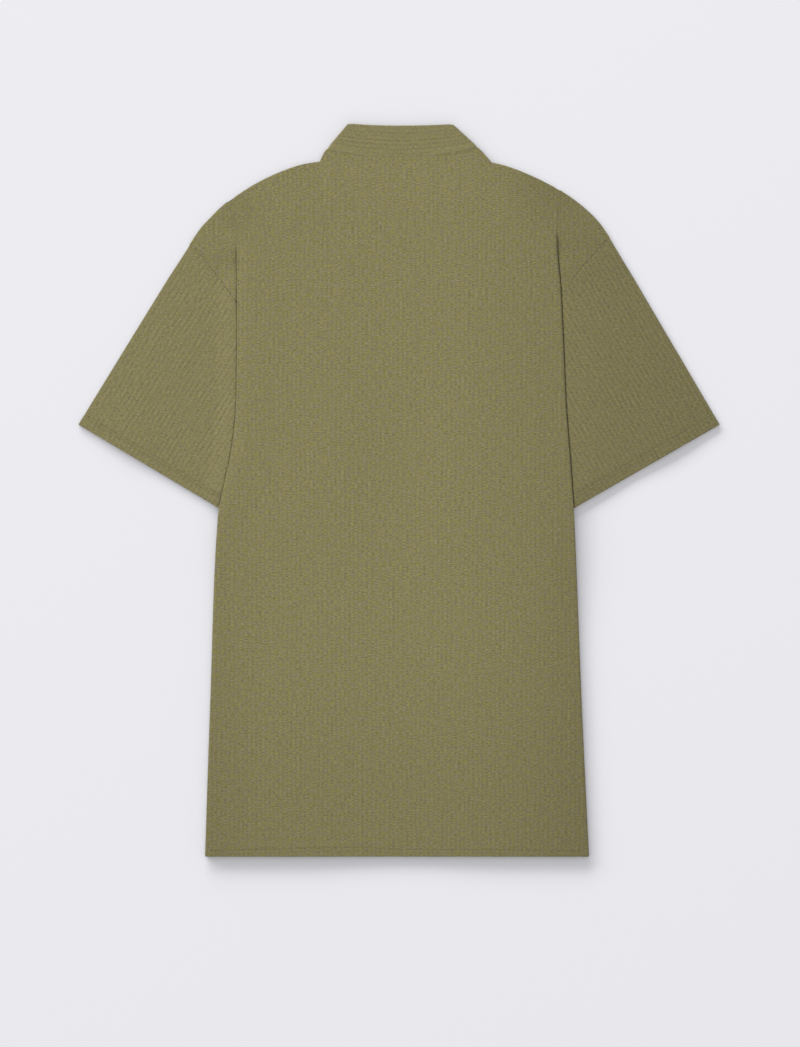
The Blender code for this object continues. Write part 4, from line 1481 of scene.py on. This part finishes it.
BUTTON = button_material()
crossings = []
for number in range(3):
    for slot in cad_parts[f"button_{number + 1}"].material_slots:
        slot.material = BUTTON
    middle = FRONT_NECK_Y - TOP_BUTTON - number * BUTTON_SPACING
    for way in (1, -1):
        path = []
        for part in np.linspace(0, 1, 9):
            at = mix(-HOLE, HOLE, part)
            dip = CROSSING_DIP * max(0.0, math.sin(math.pi * part)) ** 0.5
            path.append((way * at, middle + at, CROSSING_Z - dip))
        crossings.append(tube(path, STITCH_RADIUS, 6))
mesh_piece("button_thread", *joined(crossings), THREAD, "placket_knit")


# ----------------------------------------------------- floor, light, camera

FLOOR_SIZE = 6.0  # metres
FLOOR_Z = -0.2
PHOTO_HEIGHT = 1047
PHOTO_MIDDLE = Place(1.0, -33.5)  # in pixels from the middle of the shirt
LENS = 100
SENSOR = 36


def make_floor():
    mesh = bpy.data.meshes.new("floor")
    size, z = FLOOR_SIZE, FLOOR_Z * MM
    corners = [(-size, -size, z), (size, -size, z), (size, size, z), (-size, size, z)]
    mesh.from_pydata(corners, [], [(0, 1, 2, 3)])
    graph = Graph("floor_paper", Roughness=1.0, Specular_IOR_Level=0.0)
    grain = graph.noise(graph.object_place(), 400.0, 3.0)
    graph.colour(graph.blended(grain, (0.825, 0.818, 0.853, 1.0), (0.835, 0.828, 0.863, 1.0)))
    mesh.materials.append(graph.material)
    floor = bpy.data.objects.new("floor", mesh)
    bpy.context.scene.collection.objects.link(floor)
    return floor


def softbox(name, azimuth, elevation, distance, size, power, lit, unlit):
    """A distant soft light. Azimuth is measured from +Y towards -X.

    Of the objects listed, it lights those in lit only. What isn't listed is lit if lit is empty.
    """
    light = bpy.data.lights.new(name, "AREA")
    light.shape = "RECTANGLE"
    light.size, light.size_y = size
    light.energy = power
    lamp = bpy.data.objects.new(name, light)
    a, e = math.radians(azimuth), math.radians(elevation)
    toward = Vector((-math.sin(a) * math.cos(e), math.cos(a) * math.cos(e), math.sin(e)))
    lamp.rotation_mode = "QUATERNION"
    lamp.rotation_quaternion = toward.to_track_quat("Z", "Y")
    lamp.location = toward * distance
    bpy.context.scene.collection.objects.link(lamp)
    group = bpy.data.collections.new(name + "_lights")
    for obj in lit + unlit:
        group.objects.link(obj)
    for obj, link in zip(lit + unlit, group.collection_objects):
        link.light_linking.link_state = "INCLUDE" if obj in lit else "EXCLUDE"
    lamp.light_linking.receiver_collection = group


def make_light(floor):
    softbox("key_floor", 30, 14.0, 20, (27.0, 4.6), 7300, [floor], [])
    softbox("key_cloth", 38, 44.0, 20, (6.0, 5.0), 2240, [], [floor])
    world = bpy.data.worlds.new("studio")
    world.use_nodes = True
    background = world.node_tree.nodes["Background"]
    background.inputs["Color"].default_value = (0.98, 0.985, 1.0, 1.0)
    background.inputs["Strength"].default_value = 0.66
    bpy.context.scene.world = world


def make_camera():
    camera = bpy.data.cameras.new("camera")
    camera.lens = LENS
    camera.sensor_width = SENSOR
    camera.clip_end = 50
    obj = bpy.data.objects.new("camera", camera)
    pixel = PIXEL * MM
    distance = PHOTO_HEIGHT * pixel * LENS / SENSOR
    obj.location = (PHOTO_MIDDLE.x * pixel, PHOTO_MIDDLE.y * pixel, distance + 3 * MM)
    bpy.context.scene.collection.objects.link(obj)
    bpy.context.scene.camera = obj


make_light(make_floor())
make_camera()
bpy.context.scene.view_settings.view_transform = "Standard"
